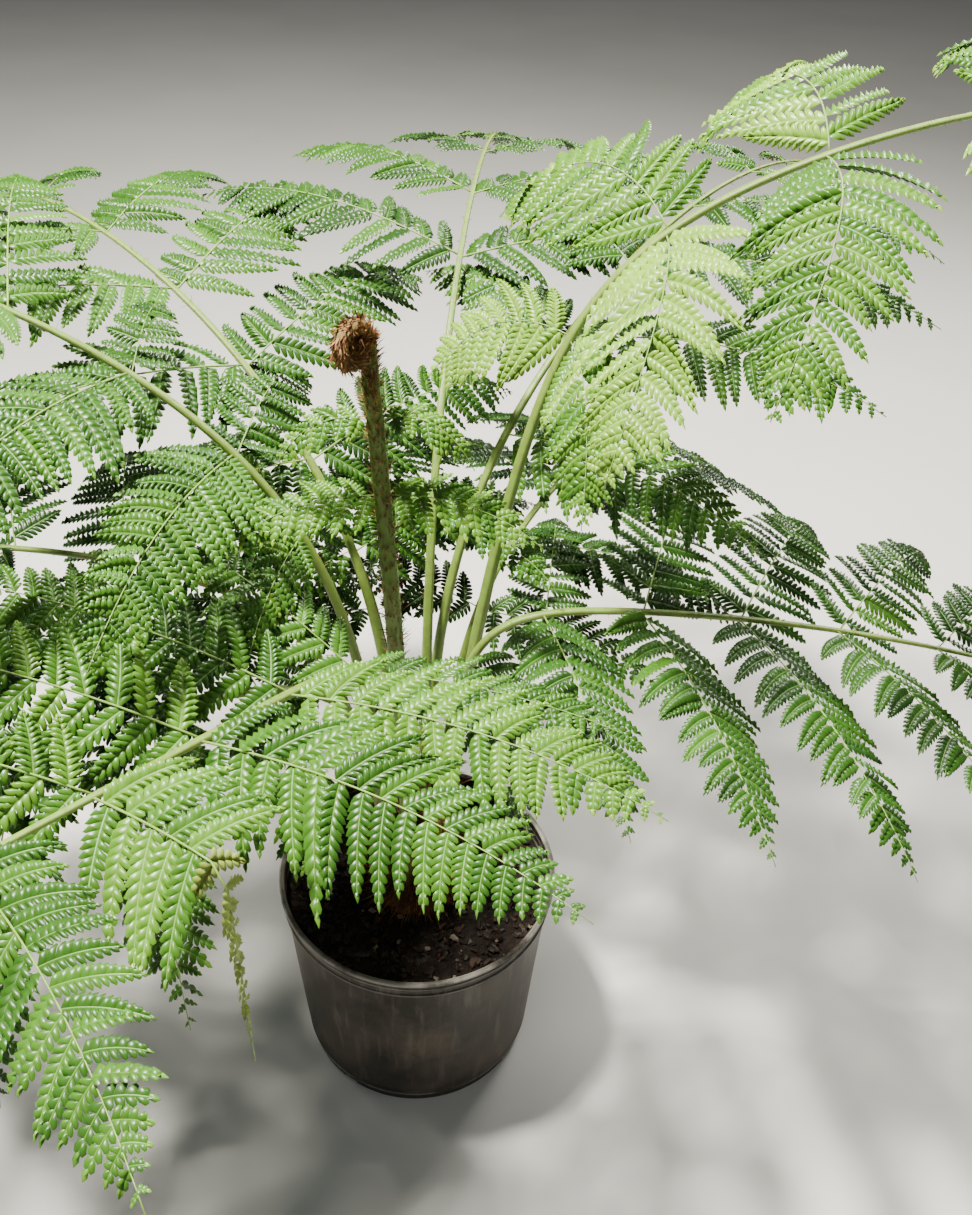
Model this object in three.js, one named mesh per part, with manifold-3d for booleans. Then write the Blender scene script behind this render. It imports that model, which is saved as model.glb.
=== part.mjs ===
// A potted young tree fern: pot, soil, short trunk, eleven arching fronds and a coiled young one.
// Millimetres, +Z up. The origin is the centre of the pot's flat underside; the open side faces -Y.
import * as THREE from "three";
import { mergeVertices } from "three/addons/utils/BufferGeometryUtils.js";
import Module from "manifold-3d";

const wasm = await Module();
wasm.setup();

// Clearance between pieces that touch, and between leaves of different fronds
const gap = 0.3;
const leafGap = 1.5;

// Pot: a tapered shell with a recessed foot, a rolled lip, a stepped band under it and notches at its foot
const pot = {
  height: 276,
  lipRadius: 165,
  bandRadius: 161.5,
  wallTopRadius: 159,
  wallFootRadius: 144.5,
  footRadius: 141.5,
  footHeight: 14,
  floor: 6,
  wall: 3,
  lipHeight: 9,
  lipWidth: 5,
  bandHeight: 26,
  bevel: 2,
  sides: 36,
  notches: 4,
  firstNotch: 237, // azimuth
  notchWidth: 15,
  notchHeight: 5,
  notchDepth: 4,
};

// Soil fills the pot to a little below the lip
const soil = { below: 22, mound: 3, moundRadius: 90, slack: 1 };

// Trunk: a short fibrous stump, as rings of [radius, height] from its flared foot to its growing tip
const trunk = {
  rings: [
    [54, 0],
    [50, 6],
    [43, 18],
    [39, 30],
    [29, 44],
    [17, 52],
  ],
  sides: 20,
};

// Shared by all fronds
const leaf = {
  closest: 0.42, // least spacing of the pinnae near the tip, in shares of the frond's
  closing: 1.25, // how late the spacing starts to close up
  angleFall: 36, // degrees that the pinnae lean forward towards the tip
  firstShare: 0.7, // length of the lowest pinna, in shares of the longest
  longestAt: 0.34, // place of the longest pinna, in shares of the blade
  taper: 2.2, // how fast the pinnae shorten beyond it
  halfWidth: 0.2, // of a pinna, in shares of its length
  baseShare: 0.72, // width of a pinna at its foot, in shares of its widest
  fullFrom: 0.25, // place of its widest leaflets, in shares of its rib
  tipPower: 0.6, // how late a pinna narrows to its tip
  tooth: 57, // length of rib that each pair of leaflets takes
  sweep: 0.42, // forward lean of a leaflet, in shares of its length
  bare: 14, // rib with no leaflets next to the rachis
  ribHeight: 0.0062, // half the rib's height, in shares of the pinna's length
  ribWidth: 0.009, // half the rib's width, in shares of the pinna's length
  ribTaper: 0.6, // share of that lost by the tip
  leastHeight: 0.8,
  leastWidth: 1,
  stagger: 1.5, // along the rachis, between the left and the right pinna of a pair
  shortest: 36,
  endBare: 20, // rachis with no pinnae next to the small blade at the tip
  tipBlade: 105,
  tipFrom: 12, // how far that blade starts before the end of the rachis
  wiltBend: 0.08, // share of its rib over which a wilted pinna bends to hang down
  wiltWidth: 0.3, // width of its hanging part, in shares of a fresh one
};
// How far each pinna strays from the rule, as a share of its length and sag, and in degrees
const stray = { length: 0.04, angle: 2, lift: 3, sag: 0.15 };
// Radii of a frond's stalk and rachis, and where the stalk ends before the first pinna
const stem = {
  foot: 8.2,
  split: 4.8,
  tip: 1.7,
  sides: 6,
  splitBefore: 28,
  endBefore: 6,
  stalkSteps: 9,
  rachisSteps: 11,
};
// Lengths that a pinna is tried at, in shares of the wanted one
const lengthSteps = [1, 0.84, 0.68, 0.52, 0.38];

// Each frond in five lines:
// its foot on the trunk (azimuth, distance from the axis and height above the soil) and its length,
// the azimuth that it travels in, its turn at the bend, its sweep to the tip and its roll,
// its lean at the foot, its bend and where and how wide that is, and its droop at the tip,
// where its pinnae start, the longest one, and their sag, lift, angle to the rachis and curl,
// and the spacing of the pinnae and the degrees that each is turned about its own rib.
// skew is the degrees that left pinnae lean back and right ones forward. One left pinna has wilted.
// halfWidth replaces the shared one where the leaflets are longer.
const fronds = [
  {
    name: "front_left",
    footAt: 255, footOut: 38, footUp: 4, length: 1020,
    azimuth: 235, turn: 11, sweep: -20, roll: -3,
    lean: 89.5, bend: 76, bendAt: 388, bendWidth: 74, droop: 13,
    first: 430, longest: 375, sag: 0.18, lift: 18, angle: 90, curl: 0.25,
    spacing: 100, louvre: 30, skew: 18, wilted: { pair: 3, from: 0.36 },
  },
  {
    name: "right",
    footAt: 8, footOut: 38, footUp: 4, length: 990,
    azimuth: 37, turn: -18, sweep: -34, roll: -3,
    lean: 89, bend: 88, bendAt: 370, bendWidth: 60, droop: 8,
    first: 345, longest: 345, sag: 0.3, lift: 7, angle: 84, curl: 0,
    spacing: 100, louvre: 20,
  },
  {
    name: "right_high",
    footAt: 35, footOut: 25, footUp: 16, length: 1255,
    azimuth: 38, turn: -36, sweep: -12, roll: 15,
    lean: 82.3, bend: 33, bendAt: 718, bendWidth: 108, droop: 52,
    first: 669, longest: 291, sag: 0.8, lift: 19, angle: 94, curl: -0.8,
    spacing: 143, louvre: 8, halfWidth: 0.28,
  },
  {
    name: "back_left",
    footAt: 122, footOut: 26, footUp: 16, length: 1130,
    azimuth: 134, turn: 0, sweep: 10, roll: 0,
    lean: 85, bend: 46, bendAt: 450, bendWidth: 180, droop: 55,
    first: 420, longest: 370, sag: 0.38, lift: 8, angle: 84, curl: 0,
    spacing: 118, louvre: 14,
  },
  {
    name: "back",
    footAt: 78, footOut: 26, footUp: 16, length: 1120,
    azimuth: 90, turn: 0, sweep: -6, roll: 0,
    lean: 86, bend: 48, bendAt: 470, bendWidth: 180, droop: 50,
    first: 420, longest: 370, sag: 0.38, lift: 8, angle: 84, curl: 0,
    spacing: 118, louvre: 14,
  },
  {
    name: "left",
    footAt: 186, footOut: 42, footUp: 4, length: 960,
    azimuth: 168, turn: 0, sweep: 10, roll: 0,
    lean: 85, bend: 72, bendAt: 380, bendWidth: 110, droop: 35,
    first: 360, longest: 340, sag: 0.4, lift: 6, angle: 82, curl: 0,
    spacing: 112, louvre: 14,
  },
  {
    name: "left_front",
    footAt: 218, footOut: 40, footUp: 4, length: 1050,
    azimuth: 214, turn: -4, sweep: -6, roll: 0,
    lean: 87, bend: 76, bendAt: 345, bendWidth: 80, droop: 42,
    first: 430, longest: 340, sag: 0.7, lift: 14, angle: 78, curl: -0.2,
    spacing: 104, louvre: 26,
  },
  {
    name: "right_back",
    footAt: 58, footOut: 43, footUp: 4, length: 900,
    azimuth: 68, turn: 0, sweep: -6, roll: 0,
    lean: 84, bend: 74, bendAt: 330, bendWidth: 110, droop: 40,
    first: 340, longest: 330, sag: 0.45, lift: 4, angle: 82, curl: 0,
    spacing: 112, louvre: 14,
  },
  {
    name: "left_back",
    footAt: 118, footOut: 45, footUp: 4, length: 880,
    azimuth: 112, turn: 0, sweep: 6, roll: 0,
    lean: 84, bend: 78, bendAt: 320, bendWidth: 110, droop: 35,
    first: 330, longest: 330, sag: 0.45, lift: 4, angle: 82, curl: 0,
    spacing: 112, louvre: 14,
  },
  {
    name: "left_high",
    footAt: 164, footOut: 26, footUp: 16, length: 1160,
    azimuth: 160, turn: 0, sweep: 22, roll: 0,
    lean: 84, bend: 40, bendAt: 500, bendWidth: 170, droop: 58,
    first: 470, longest: 350, sag: 0.4, lift: 8, angle: 84, curl: 0,
    spacing: 118, louvre: 16,
  },
  {
    name: "back_right",
    footAt: 90, footOut: 45, footUp: 6, length: 1160,
    azimuth: 56, turn: 0, sweep: -8, roll: 0,
    lean: 86, bend: 44, bendAt: 480, bendWidth: 170, droop: 56,
    first: 450, longest: 350, sag: 0.4, lift: 8, angle: 84, curl: 0,
    spacing: 118, louvre: 14,
  },
];

// The coiled young frond: a thick upright stalk, its coil, and two pairs of small pinnae below the coil
const crozier = {
  footAt: 225, footOut: 9, footUp: 20, length: 680,
  azimuth: 170, turn: 0, sweep: 0, roll: -80,
  lean: 87.5, bend: 2, bendAt: 500, bendWidth: 200, droop: 0,
  foot: 9.5, top: 7.6, steps: 10,
  coilRadius: 18, coilInner: 6.5, coilTurns: 1.6, coilTube: 8.2, coilEnd: 3.4, coilSteps: 20,
  coilTurn: -125, // degrees about the stalk, so that it curls forward and to the left
  coilLap: 2.4, // how far each length of the coil runs into the next
  coilTwist: 0.05, // turn of each length about itself, so that no two facets lie in one plane
  coilRise: 0.02, // sideways rise of each length, for the same reason
  pairs: [
    { at: 604, length: 112, lift: 22, sag: 1.1 },
    { at: 528, length: 165, lift: 8, sag: 0.5 },
  ],
  pinnaForward: 0.25, // how far the small pinnae head for the front
  pinnaTilt: 0.5, // how far their upper faces turn to the front
};

const colours = {
  pot: 0x2b2c2d,
  soil: 0x35231a,
  trunk: 0x6a4a2c,
  stalk: 0x7d8a3c,
  leaf: 0x4f8a3a,
  young: 0x7fa544,
};

const radians = (degrees) => (degrees * Math.PI) / 180;
const mix = (a, b, t) => a + (b - a) * t;
const up = new THREE.Vector3(0, 0, 1);

// A small repeatable source of random numbers from 0 to 1
function makeRandom(seed) {
  let state = seed >>> 0;
  return () => {
    state = (Math.imul(state, 1664525) + 1013904223) >>> 0;
    return state / 4294967296;
  };
}

// A three.js geometry as a solid for joining and cutting
function solidOf(geometry) {
  const bare = geometry.clone();
  bare.deleteAttribute("normal");
  bare.deleteAttribute("uv");
  const merged = mergeVertices(bare, 1e-4);
  const source = merged.index.array;
  const kept = [];
  for (let i = 0; i < source.length; i += 3) {
    const [a, b, c] = [source[i], source[i + 1], source[i + 2]];
    if (a !== b && b !== c && a !== c) kept.push(a, b, c);
  }
  const vertProperties = merged.attributes.position.array;
  return new wasm.Manifold(new wasm.Mesh({ numProp: 3, vertProperties, triVerts: new Uint32Array(kept) }));
}

function geometryOf(solid) {
  const mesh = solid.getMesh();
  const geometry = new THREE.BufferGeometry();
  geometry.setAttribute("position", new THREE.BufferAttribute(mesh.vertProperties, 3));
  geometry.setIndex(new THREE.BufferAttribute(mesh.triVerts, 1));
  geometry.computeVertexNormals();
  return geometry;
}

// A turned solid about the Z axis from [radius, height] points that run from the axis to the axis
function turned(profile, sides) {
  const points = profile.map(([radius, height]) => new THREE.Vector2(radius, height));
  return new THREE.LatheGeometry(points, sides).rotateX(Math.PI / 2);
}

// Frond angles at share u of the length: azimuth and elevation of travel, in radians
function travelAngles(frond, u) {
  const step = (v) => 0.5 * (1 + Math.tanh((v * frond.length - frond.bendAt) / frond.bendWidth));
  const bent = (step(u) - step(0)) / (1 - step(0));
  const azimuth = frond.azimuth + frond.turn * bent + frond.sweep * u;
  const elevation = frond.lean - frond.bend * bent - frond.droop * u ** 2.5;
  return [radians(azimuth), radians(elevation)];
}

function travel(frond, u) {
  const [azimuth, elevation] = travelAngles(frond, u);
  const level = Math.cos(elevation);
  return new THREE.Vector3(level * Math.cos(azimuth), level * Math.sin(azimuth), Math.sin(elevation));
}

// The frond's frame at share u: along its travel, across to the left, and the upper face's normal
function frameAt(frond, u) {
  const along = travel(frond, u);
  const azimuth = travelAngles(frond, u)[0];
  const across = new THREE.Vector3(-Math.sin(azimuth), Math.cos(azimuth), 0);
  across.applyAxisAngle(along, radians(frond.roll ?? 0));
  return { along, across, normal: new THREE.Vector3().crossVectors(along, across) };
}

// Points along the frond's centre line, at even steps
const lineSteps = 80;
function centreLine(frond) {
  const foot = radians(frond.footAt);
  const start = new THREE.Vector3(frond.footOut * Math.cos(foot), frond.footOut * Math.sin(foot), 0);
  start.z = pot.height - soil.below + frond.footUp;
  const points = [start];
  for (let i = 0; i < lineSteps; i++) {
    const heading = travel(frond, (i + 0.5) / lineSteps);
    points.push(points[i].clone().addScaledVector(heading, frond.length / lineSteps));
  }
  return points;
}

function pointAt(points, share) {
  const place = Math.min(Math.max(share, 0), 1) * (points.length - 1);
  const index = Math.min(Math.floor(place), points.length - 2);
  return points[index].clone().lerp(points[index + 1], place - index);
}

// A tapering limb along the frond's line, from one distance to another
function limb(frond, line, from, to, fromRadius, toRadius, steps) {
  const rod = new THREE.CylinderGeometry(1, 1, 1, stem.sides, steps);
  const place = rod.attributes.position;
  for (let i = 0; i < place.count; i++) {
    const t = place.getY(i) + 0.5;
    const share = mix(from, to, t) / frond.length;
    const radius = mix(fromRadius, toRadius, t);
    const { along, across } = frameAt(frond, share);
    const under = new THREE.Vector3().crossVectors(across, along);
    const point = pointAt(line, share);
    point.addScaledVector(across, place.getX(i) * radius).addScaledVector(under, place.getZ(i) * radius);
    place.setXYZ(i, point.x, point.y, point.z);
  }
  return solidOf(rod);
}

// Length of the pinna at a distance along the rachis, in shares of the frond's longest
function pinnaShare(frond, distance) {
  const u = (distance - frond.first) / (frond.length - frond.first);
  if (u < leaf.longestAt) return 1 - (1 - leaf.firstShare) * ((leaf.longestAt - u) / leaf.longestAt) ** 2;
  return Math.max(0, 1 - ((u - leaf.longestAt) / (1 - leaf.longestAt)) ** leaf.taper);
}

// The rib of a pinna: it leaves along its heading, sags and curls as it goes, and hangs where it has wilted
const ribSteps = 16;
function ribLine(start, heading, curlTowards, length, sag, curl, wiltedFrom = 1) {
  const points = [start.clone()];
  const headings = [];
  for (let i = 0; i < ribSteps; i++) {
    const t = (i + 0.5) / ribSteps;
    const now = heading.clone().addScaledVector(up, -2 * sag * t ** 1.5);
    now.addScaledVector(curlTowards, curl * t).normalize();
    const hang = Math.min(1, Math.max(0, (t - wiltedFrom) / leaf.wiltBend));
    now.multiplyScalar(1 - hang).addScaledVector(up, -hang).normalize();
    headings.push(now);
    points.push(points[i].clone().addScaledVector(now, length / ribSteps));
  }
  headings.push(headings[ribSteps - 1]);
  return { points, headings };
}

// Half-width of a pinna at share t of its rib, in shares of its widest
function pinnaWidth(t) {
  const opening = mix(leaf.baseShare, 1, Math.min(1, t / leaf.fullFrom));
  return opening * ((1 - t) / (1 - leaf.fullFrom)) ** leaf.tipPower;
}

// A pinna: a thin ridged blade whose outline is cut back to the rib between its leaflets
function pinna(rib, faceNormal, length, louvre, halfWidth = leaf.halfWidth, wiltedFrom = 1) {
  const pairs = Math.max(2, Math.round((length - leaf.bare) / leaf.tooth));
  const shares = [0];
  for (let i = 0; i <= pairs; i++) shares.push(mix(leaf.bare / length, 1, i / pairs));
  const stations = shares.map((t) => {
    const along = pointAt(rib.headings, t).normalize();
    const left = new THREE.Vector3().crossVectors(faceNormal, along).normalize();
    left.applyAxisAngle(along, louvre);
    const face = new THREE.Vector3().crossVectors(along, left);
    return { t, centre: pointAt(rib.points, t), along, left, face };
  });
  const vertices = [];
  const faces = [];
  const add = (point) => vertices.push(point) - 1;
  const last = stations.length - 1;
  const rows = stations.map(({ t, centre, left, face }, i) => {
    if (i === last) {
      const tip = add(centre);
      return { top: tip, bottom: tip, sides: [tip, tip] };
    }
    const slim = length * (1 - leaf.ribTaper * t);
    const rise = Math.max(leaf.leastHeight, leaf.ribHeight * slim);
    const wide = Math.max(leaf.leastWidth, leaf.ribWidth * slim);
    return {
      top: add(centre.clone().addScaledVector(face, rise)),
      bottom: add(centre.clone().addScaledVector(face, -rise)),
      sides: [1, -1].map((sign) => add(centre.clone().addScaledVector(left, sign * wide))),
    };
  });
  // One face of the blade, turned over for the right-hand side and for the underside
  const face = (a, b, c, flip) => {
    if (a !== b && b !== c && a !== c) faces.push(...(flip ? [a, c, b] : [a, b, c]));
  };
  for (let i = 0; i < last; i++) {
    const [row, next] = [rows[i], rows[i + 1]];
    const toothed = i > 0 && i < last - 1;
    [1, -1].forEach((sign, k) => {
      let tip = null;
      if (toothed) {
        const middle = mix(stations[i].t, stations[i + 1].t, 0.5);
        const fresh = middle > wiltedFrom ? leaf.wiltWidth : 1;
        const reach = halfWidth * length * pinnaWidth(middle) * fresh;
        const point = pointAt(rib.points, middle).addScaledVector(stations[i].left, sign * reach);
        tip = add(point.addScaledVector(stations[i].along, leaf.sweep * reach));
      }
      for (const side of ["top", "bottom"]) {
        const flip = (sign < 0) !== (side === "bottom");
        if (toothed) {
          face(row[side], next[side], tip, flip);
          face(next[side], next.sides[k], tip, flip);
          face(row[side], tip, row.sides[k], flip);
        } else {
          face(row[side], next[side], next.sides[k], flip);
          face(row[side], next.sides[k], row.sides[k], flip);
        }
      }
    });
  }
  face(rows[0].top, rows[0].sides[0], rows[0].bottom, false);
  face(rows[0].top, rows[0].bottom, rows[0].sides[1], false);
  const geometry = new THREE.BufferGeometry().setFromPoints(vertices);
  geometry.setIndex(faces);
  return solidOf(geometry);
}

// Whether a solid keeps clear of each of the others
function isClear(solid, others, clearance) {
  const box = solid.boundingBox();
  return others.every((other) => {
    const theirs = other.boundingBox();
    for (let k = 0; k < 3; k++) {
      if (box.min[k] > theirs.max[k] + clearance || box.max[k] < theirs.min[k] - clearance) return true;
    }
    return solid.minGap(other, clearance + 1) > clearance;
  });
}

// Heading of a pinna that leaves the rachis on one side (+1 left, -1 right)
function pinnaHeading({ along, across, normal }, side, angle, lift) {
  const outwards = across.clone().multiplyScalar(side * Math.cos(lift));
  outwards.addScaledVector(normal, Math.sin(lift));
  return along.clone().multiplyScalar(Math.cos(angle)).addScaledVector(outwards, Math.sin(angle));
}

function rachisOf(frond, line) {
  const from = frond.first - stem.splitBefore + gap;
  return limb(frond, line, from, frond.length - stem.endBefore, stem.split, stem.tip, stem.rachisSteps);
}

// The blade of a frond: its rachis with a pinna on each side at even steps, and a small one at its tip.
// A pinna that would touch one of the other solids is made shorter, or left out.
function frondBlade(frond, line, rachis, others, seed) {
  const random = makeRandom(seed);
  const astray = () => 2 * random() - 1;
  const reach = frond.length - frond.first;
  const pieces = [rachis];
  let pair = 0;
  for (let distance = frond.first; distance < frond.length - leaf.endBare; ) {
    const share = pinnaShare(frond, distance);
    const frame = frameAt(frond, distance / frond.length);
    for (const side of [1, -1]) {
      const wanted = frond.longest * share * (1 + stray.length * astray());
      const forward = (leaf.angleFall * (distance - frond.first)) / reach;
      const turn = frond.angle + side * (frond.skew ?? 0) - forward + stray.angle * astray();
      const lift = frond.lift + stray.lift * astray();
      const sag = frond.sag * (1 + stray.sag * astray());
      const start = pointAt(line, (distance + side * leaf.stagger) / frond.length);
      const heading = pinnaHeading(frame, side, radians(turn), radians(lift));
      const wiltedFrom = side > 0 && frond.wilted?.pair === pair ? frond.wilted.from : 1;
      for (const step of lengthSteps) {
        const length = wanted * step;
        if (length < leaf.shortest) break;
        const rib = ribLine(start, heading, frame.along, length, sag, frond.curl, wiltedFrom);
        const louvre = radians(side * frond.louvre);
        const made = pinna(rib, frame.normal, length, louvre, frond.halfWidth, wiltedFrom);
        if (isClear(made, others, leafGap)) {
          pieces.push(made);
          break;
        }
      }
    }
    distance += frond.spacing * Math.max(leaf.closest, Math.min(1, share * leaf.closing));
    pair += 1;
  }
  const end = frameAt(frond, 1);
  const tipStart = pointAt(line, 1 - leaf.tipFrom / frond.length);
  const tipRib = ribLine(tipStart, end.along, end.along, leaf.tipBlade, frond.sag, 0);
  const tip = pinna(tipRib, end.normal, leaf.tipBlade, 0);
  if (isClear(tip, others, leafGap)) pieces.push(tip);
  return wasm.Manifold.union(pieces);
}

// The young frond: stalk, coil and small pinnae in one piece
function youngFrond(line) {
  const pieces = [limb(crozier, line, 0, crozier.length, crozier.foot, crozier.top, crozier.steps)];
  const { along, across } = frameAt(crozier, 1);
  const outwards = across.clone().applyAxisAngle(along, radians(crozier.coilTurn));
  const middle = pointAt(line, 1).addScaledVector(outwards, -crozier.coilRadius);
  const coilPoint = (t) => {
    const angle = t * crozier.coilTurns * 2 * Math.PI;
    const radius = mix(crozier.coilRadius, crozier.coilInner, t);
    const point = middle.clone().addScaledVector(outwards, radius * Math.cos(angle));
    return point.addScaledVector(along, radius * Math.sin(angle));
  };
  const nose = new THREE.Vector3().crossVectors(outwards, along);
  for (let i = 0; i < crozier.coilSteps; i++) {
    const [a, b] = [i, i + 1].map((k) => k / crozier.coilSteps);
    const [p, q] = [coilPoint(a), coilPoint(b)];
    const heading = q.clone().sub(p);
    const piece = new THREE.CylinderGeometry(
      mix(crozier.coilTube, crozier.coilEnd, b),
      mix(crozier.coilTube, crozier.coilEnd, a),
      heading.length() + crozier.coilLap,
      stem.sides,
    );
    piece.rotateY(crozier.coilTwist * i);
    const turn = new THREE.Quaternion().setFromUnitVectors(new THREE.Vector3(0, 1, 0), heading.normalize());
    piece.applyQuaternion(turn);
    const centre = p.add(q).multiplyScalar(0.5).addScaledVector(nose, crozier.coilRise * i);
    pieces.push(solidOf(piece.translate(centre.x, centre.y, centre.z)));
  }
  const front = new THREE.Vector3(0, -1, 0);
  const face = up.clone().addScaledVector(front, crozier.pinnaTilt).normalize();
  for (const pair of crozier.pairs) {
    const start = pointAt(line, pair.at / crozier.length);
    for (const side of [1, -1]) {
      const heading = across.clone().multiplyScalar(side).addScaledVector(up, Math.tan(radians(pair.lift)));
      heading.addScaledVector(front, crozier.pinnaForward).normalize();
      const rib = ribLine(start, heading, along, pair.length, pair.sag, 0);
      pieces.push(pinna(rib, face, pair.length, 0));
    }
  }
  return wasm.Manifold.union(pieces);
}

const group = new THREE.Group();
function addMesh(name, geometry, colour, roughness) {
  const material = new THREE.MeshStandardMaterial({ color: colour, roughness, metalness: 0 });
  const mesh = new THREE.Mesh(geometry, material);
  mesh.name = name;
  group.add(mesh);
}

function potShell() {
  const bandFoot = pot.height - pot.bandHeight;
  const lipFoot = pot.height - pot.lipHeight;
  const inside = pot.bandRadius - pot.wall;
  return turned(
    [
      [0, 0],
      [pot.footRadius, 0],
      [pot.footRadius, pot.footHeight - pot.bevel],
      [pot.wallFootRadius, pot.footHeight],
      [pot.wallTopRadius, bandFoot],
      [pot.bandRadius, bandFoot + pot.bevel],
      [pot.bandRadius, lipFoot - pot.bevel],
      [pot.lipRadius, lipFoot],
      [pot.lipRadius, pot.height - pot.bevel],
      [pot.lipRadius - pot.bevel, pot.height],
      [pot.lipRadius - pot.lipWidth, pot.height],
      [inside, lipFoot],
      [inside, bandFoot + pot.bevel],
      [pot.wallTopRadius - pot.wall, bandFoot],
      [pot.wallFootRadius - pot.wall, pot.footHeight],
      [pot.footRadius - pot.wall, pot.floor],
      [0, pot.floor],
    ],
    pot.sides,
  );
}

// The pot with a shallow drainage notch at even steps round its foot
function potSolid() {
  let solid = solidOf(potShell());
  for (let i = 0; i < pot.notches; i++) {
    const cutter = new THREE.BoxGeometry(2 * pot.notchDepth, pot.notchWidth, 2 * pot.notchHeight);
    cutter.translate(pot.footRadius, 0, 0);
    cutter.rotateZ(radians(pot.firstNotch + (360 * i) / pot.notches));
    solid = solid.subtract(solidOf(cutter));
  }
  return solid;
}

function soilGeometry() {
  const foot = pot.floor + gap;
  const top = pot.height - soil.below;
  const bandFoot = pot.height - pot.bandHeight;
  const edge = pot.bandRadius - pot.wall - gap - soil.slack;
  return turned(
    [
      [0, foot],
      [pot.footRadius - pot.wall - gap, foot],
      [pot.wallFootRadius - pot.wall - gap, pot.footHeight],
      [pot.wallTopRadius - pot.wall - gap, bandFoot],
      [edge, bandFoot + pot.bevel + gap],
      [edge, top - soil.mound],
      [soil.moundRadius, top],
      [0, top],
    ],
    pot.sides,
  );
}

// The trunk's shape, grown by a clearance where it cuts the stalks' feet
function trunkGeometry(grown) {
  const foot = pot.height - soil.below + gap;
  const outline = trunk.rings.map(([radius, height]) => [radius + grown, foot + height]);
  outline[0][1] -= grown;
  outline[outline.length - 1][1] += grown;
  const [low, high] = [outline[0][1], outline[outline.length - 1][1]];
  return turned([[0, low], ...outline, [0, high]], trunk.sides);
}

const potWithNotches = potSolid();
addMesh("pot", geometryOf(potWithNotches), colours.pot, 0.55);
addMesh("soil", soilGeometry(), colours.soil, 0.95);
addMesh("trunk", trunkGeometry(0), colours.trunk, 0.9);
const placed = [potWithNotches, solidOf(soilGeometry()), solidOf(trunkGeometry(0))];

const aroundTrunk = solidOf(trunkGeometry(gap));
const youngLine = centreLine(crozier);
const young = youngFrond(youngLine).subtract(aroundTrunk);
addMesh("young_frond", geometryOf(young), colours.young, 0.6);
placed.push(young);

for (const frond of fronds) {
  const line = centreLine(frond);
  const split = frond.first - stem.splitBefore;
  const stalk = limb(frond, line, 0, split, stem.foot, stem.split, stem.stalkSteps).subtract(aroundTrunk);
  addMesh("stalk_" + frond.name, geometryOf(stalk), colours.stalk, 0.6);
  placed.push(stalk);
}

// All limbs are in place before the first pinna grows, and each frond has its own seed
const firstSeed = 101;
const lines = fronds.map(centreLine);
const rachises = fronds.map((frond, index) => rachisOf(frond, lines[index]));
fronds.forEach((frond, index) => {
  const others = [...placed, ...rachises.slice(index + 1)];
  const blade = frondBlade(frond, lines[index], rachises[index], others, firstSeed + index);
  addMesh("frond_" + frond.name, geometryOf(blade), colours.leaf, 0.6);
  placed.push(blade);
});

export default group;
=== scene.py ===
import math

import bmesh
import bpy
import numpy as np
from mathutils import Matrix, Vector, noise
from mathutils.kdtree import KDTree


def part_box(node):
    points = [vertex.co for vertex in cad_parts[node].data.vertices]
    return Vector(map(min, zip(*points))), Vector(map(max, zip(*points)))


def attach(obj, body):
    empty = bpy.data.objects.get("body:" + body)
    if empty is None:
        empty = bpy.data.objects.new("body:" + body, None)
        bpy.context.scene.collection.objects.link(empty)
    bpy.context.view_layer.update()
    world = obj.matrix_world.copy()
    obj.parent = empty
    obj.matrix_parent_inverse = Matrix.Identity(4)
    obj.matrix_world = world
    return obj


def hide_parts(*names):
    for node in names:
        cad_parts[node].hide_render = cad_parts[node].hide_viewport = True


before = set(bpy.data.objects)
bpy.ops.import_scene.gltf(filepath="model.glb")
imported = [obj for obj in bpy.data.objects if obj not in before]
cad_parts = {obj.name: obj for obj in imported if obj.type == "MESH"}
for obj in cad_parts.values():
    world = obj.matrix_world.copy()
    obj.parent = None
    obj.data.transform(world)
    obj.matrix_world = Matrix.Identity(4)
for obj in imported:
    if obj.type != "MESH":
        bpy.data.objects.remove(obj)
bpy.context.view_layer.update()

up = np.array([0.0, 0.0, 1.0])


# Camera and studio

camera = {
    "place": (0.0678, -0.8949, 1.3734),
    "pitch": 38.0,  # degrees below the horizon
    "roll": 2.55,
    "focalPixels": 1150.0,
    "framePixels": 972.0,  # the frame's width
    "sensor": 36.0,
}


def makeCamera():
    data = bpy.data.cameras.new("camera")
    data.sensor_fit = "HORIZONTAL"
    data.sensor_width = camera["sensor"]
    data.lens = camera["focalPixels"] / camera["framePixels"] * camera["sensor"]
    data.clip_end = 60
    obj = bpy.data.objects.new("camera", data)
    bpy.context.scene.collection.objects.link(obj)
    turn = Matrix.Rotation(math.radians(90 - camera["pitch"]), 4, "X")
    roll = Matrix.Rotation(math.radians(camera["roll"]), 4, "Z")
    obj.matrix_world = Matrix.Translation(camera["place"]) @ turn @ roll
    bpy.context.scene.camera = obj


studio = {
    "floorSize": 30.0,
    "floorColour": (0.66, 0.65, 0.63, 1),
    "floorSecond": (0.6, 0.59, 0.57, 1),
    "floorBlotches": 1.4,  # scale of the second colour
    "world": (0.86, 0.9, 0.95, 1),
    "worldStrength": 0.09,
    # name: (place, point that it faces, side length, watts, colour)
    "lights": {
        "key": ((-0.9, 0.1, 3.3), (0, 0, 0.5), 0.35, 430, (1, 0.96, 0.84)),
        "back": ((1.2, 2.0, 2.6), (0, 0, 0.5), 0.9, 120, (1, 0.97, 0.88)),
        "front": ((-1.4, -2.6, 2.0), (0, 0, 0.4), 2.4, 11, (0.95, 0.97, 1)),
        "side": ((2.8, -0.8, 1.8), (0, 0, 0.4), 1.8, 9, (1, 0.97, 0.92)),
    },
}


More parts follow.
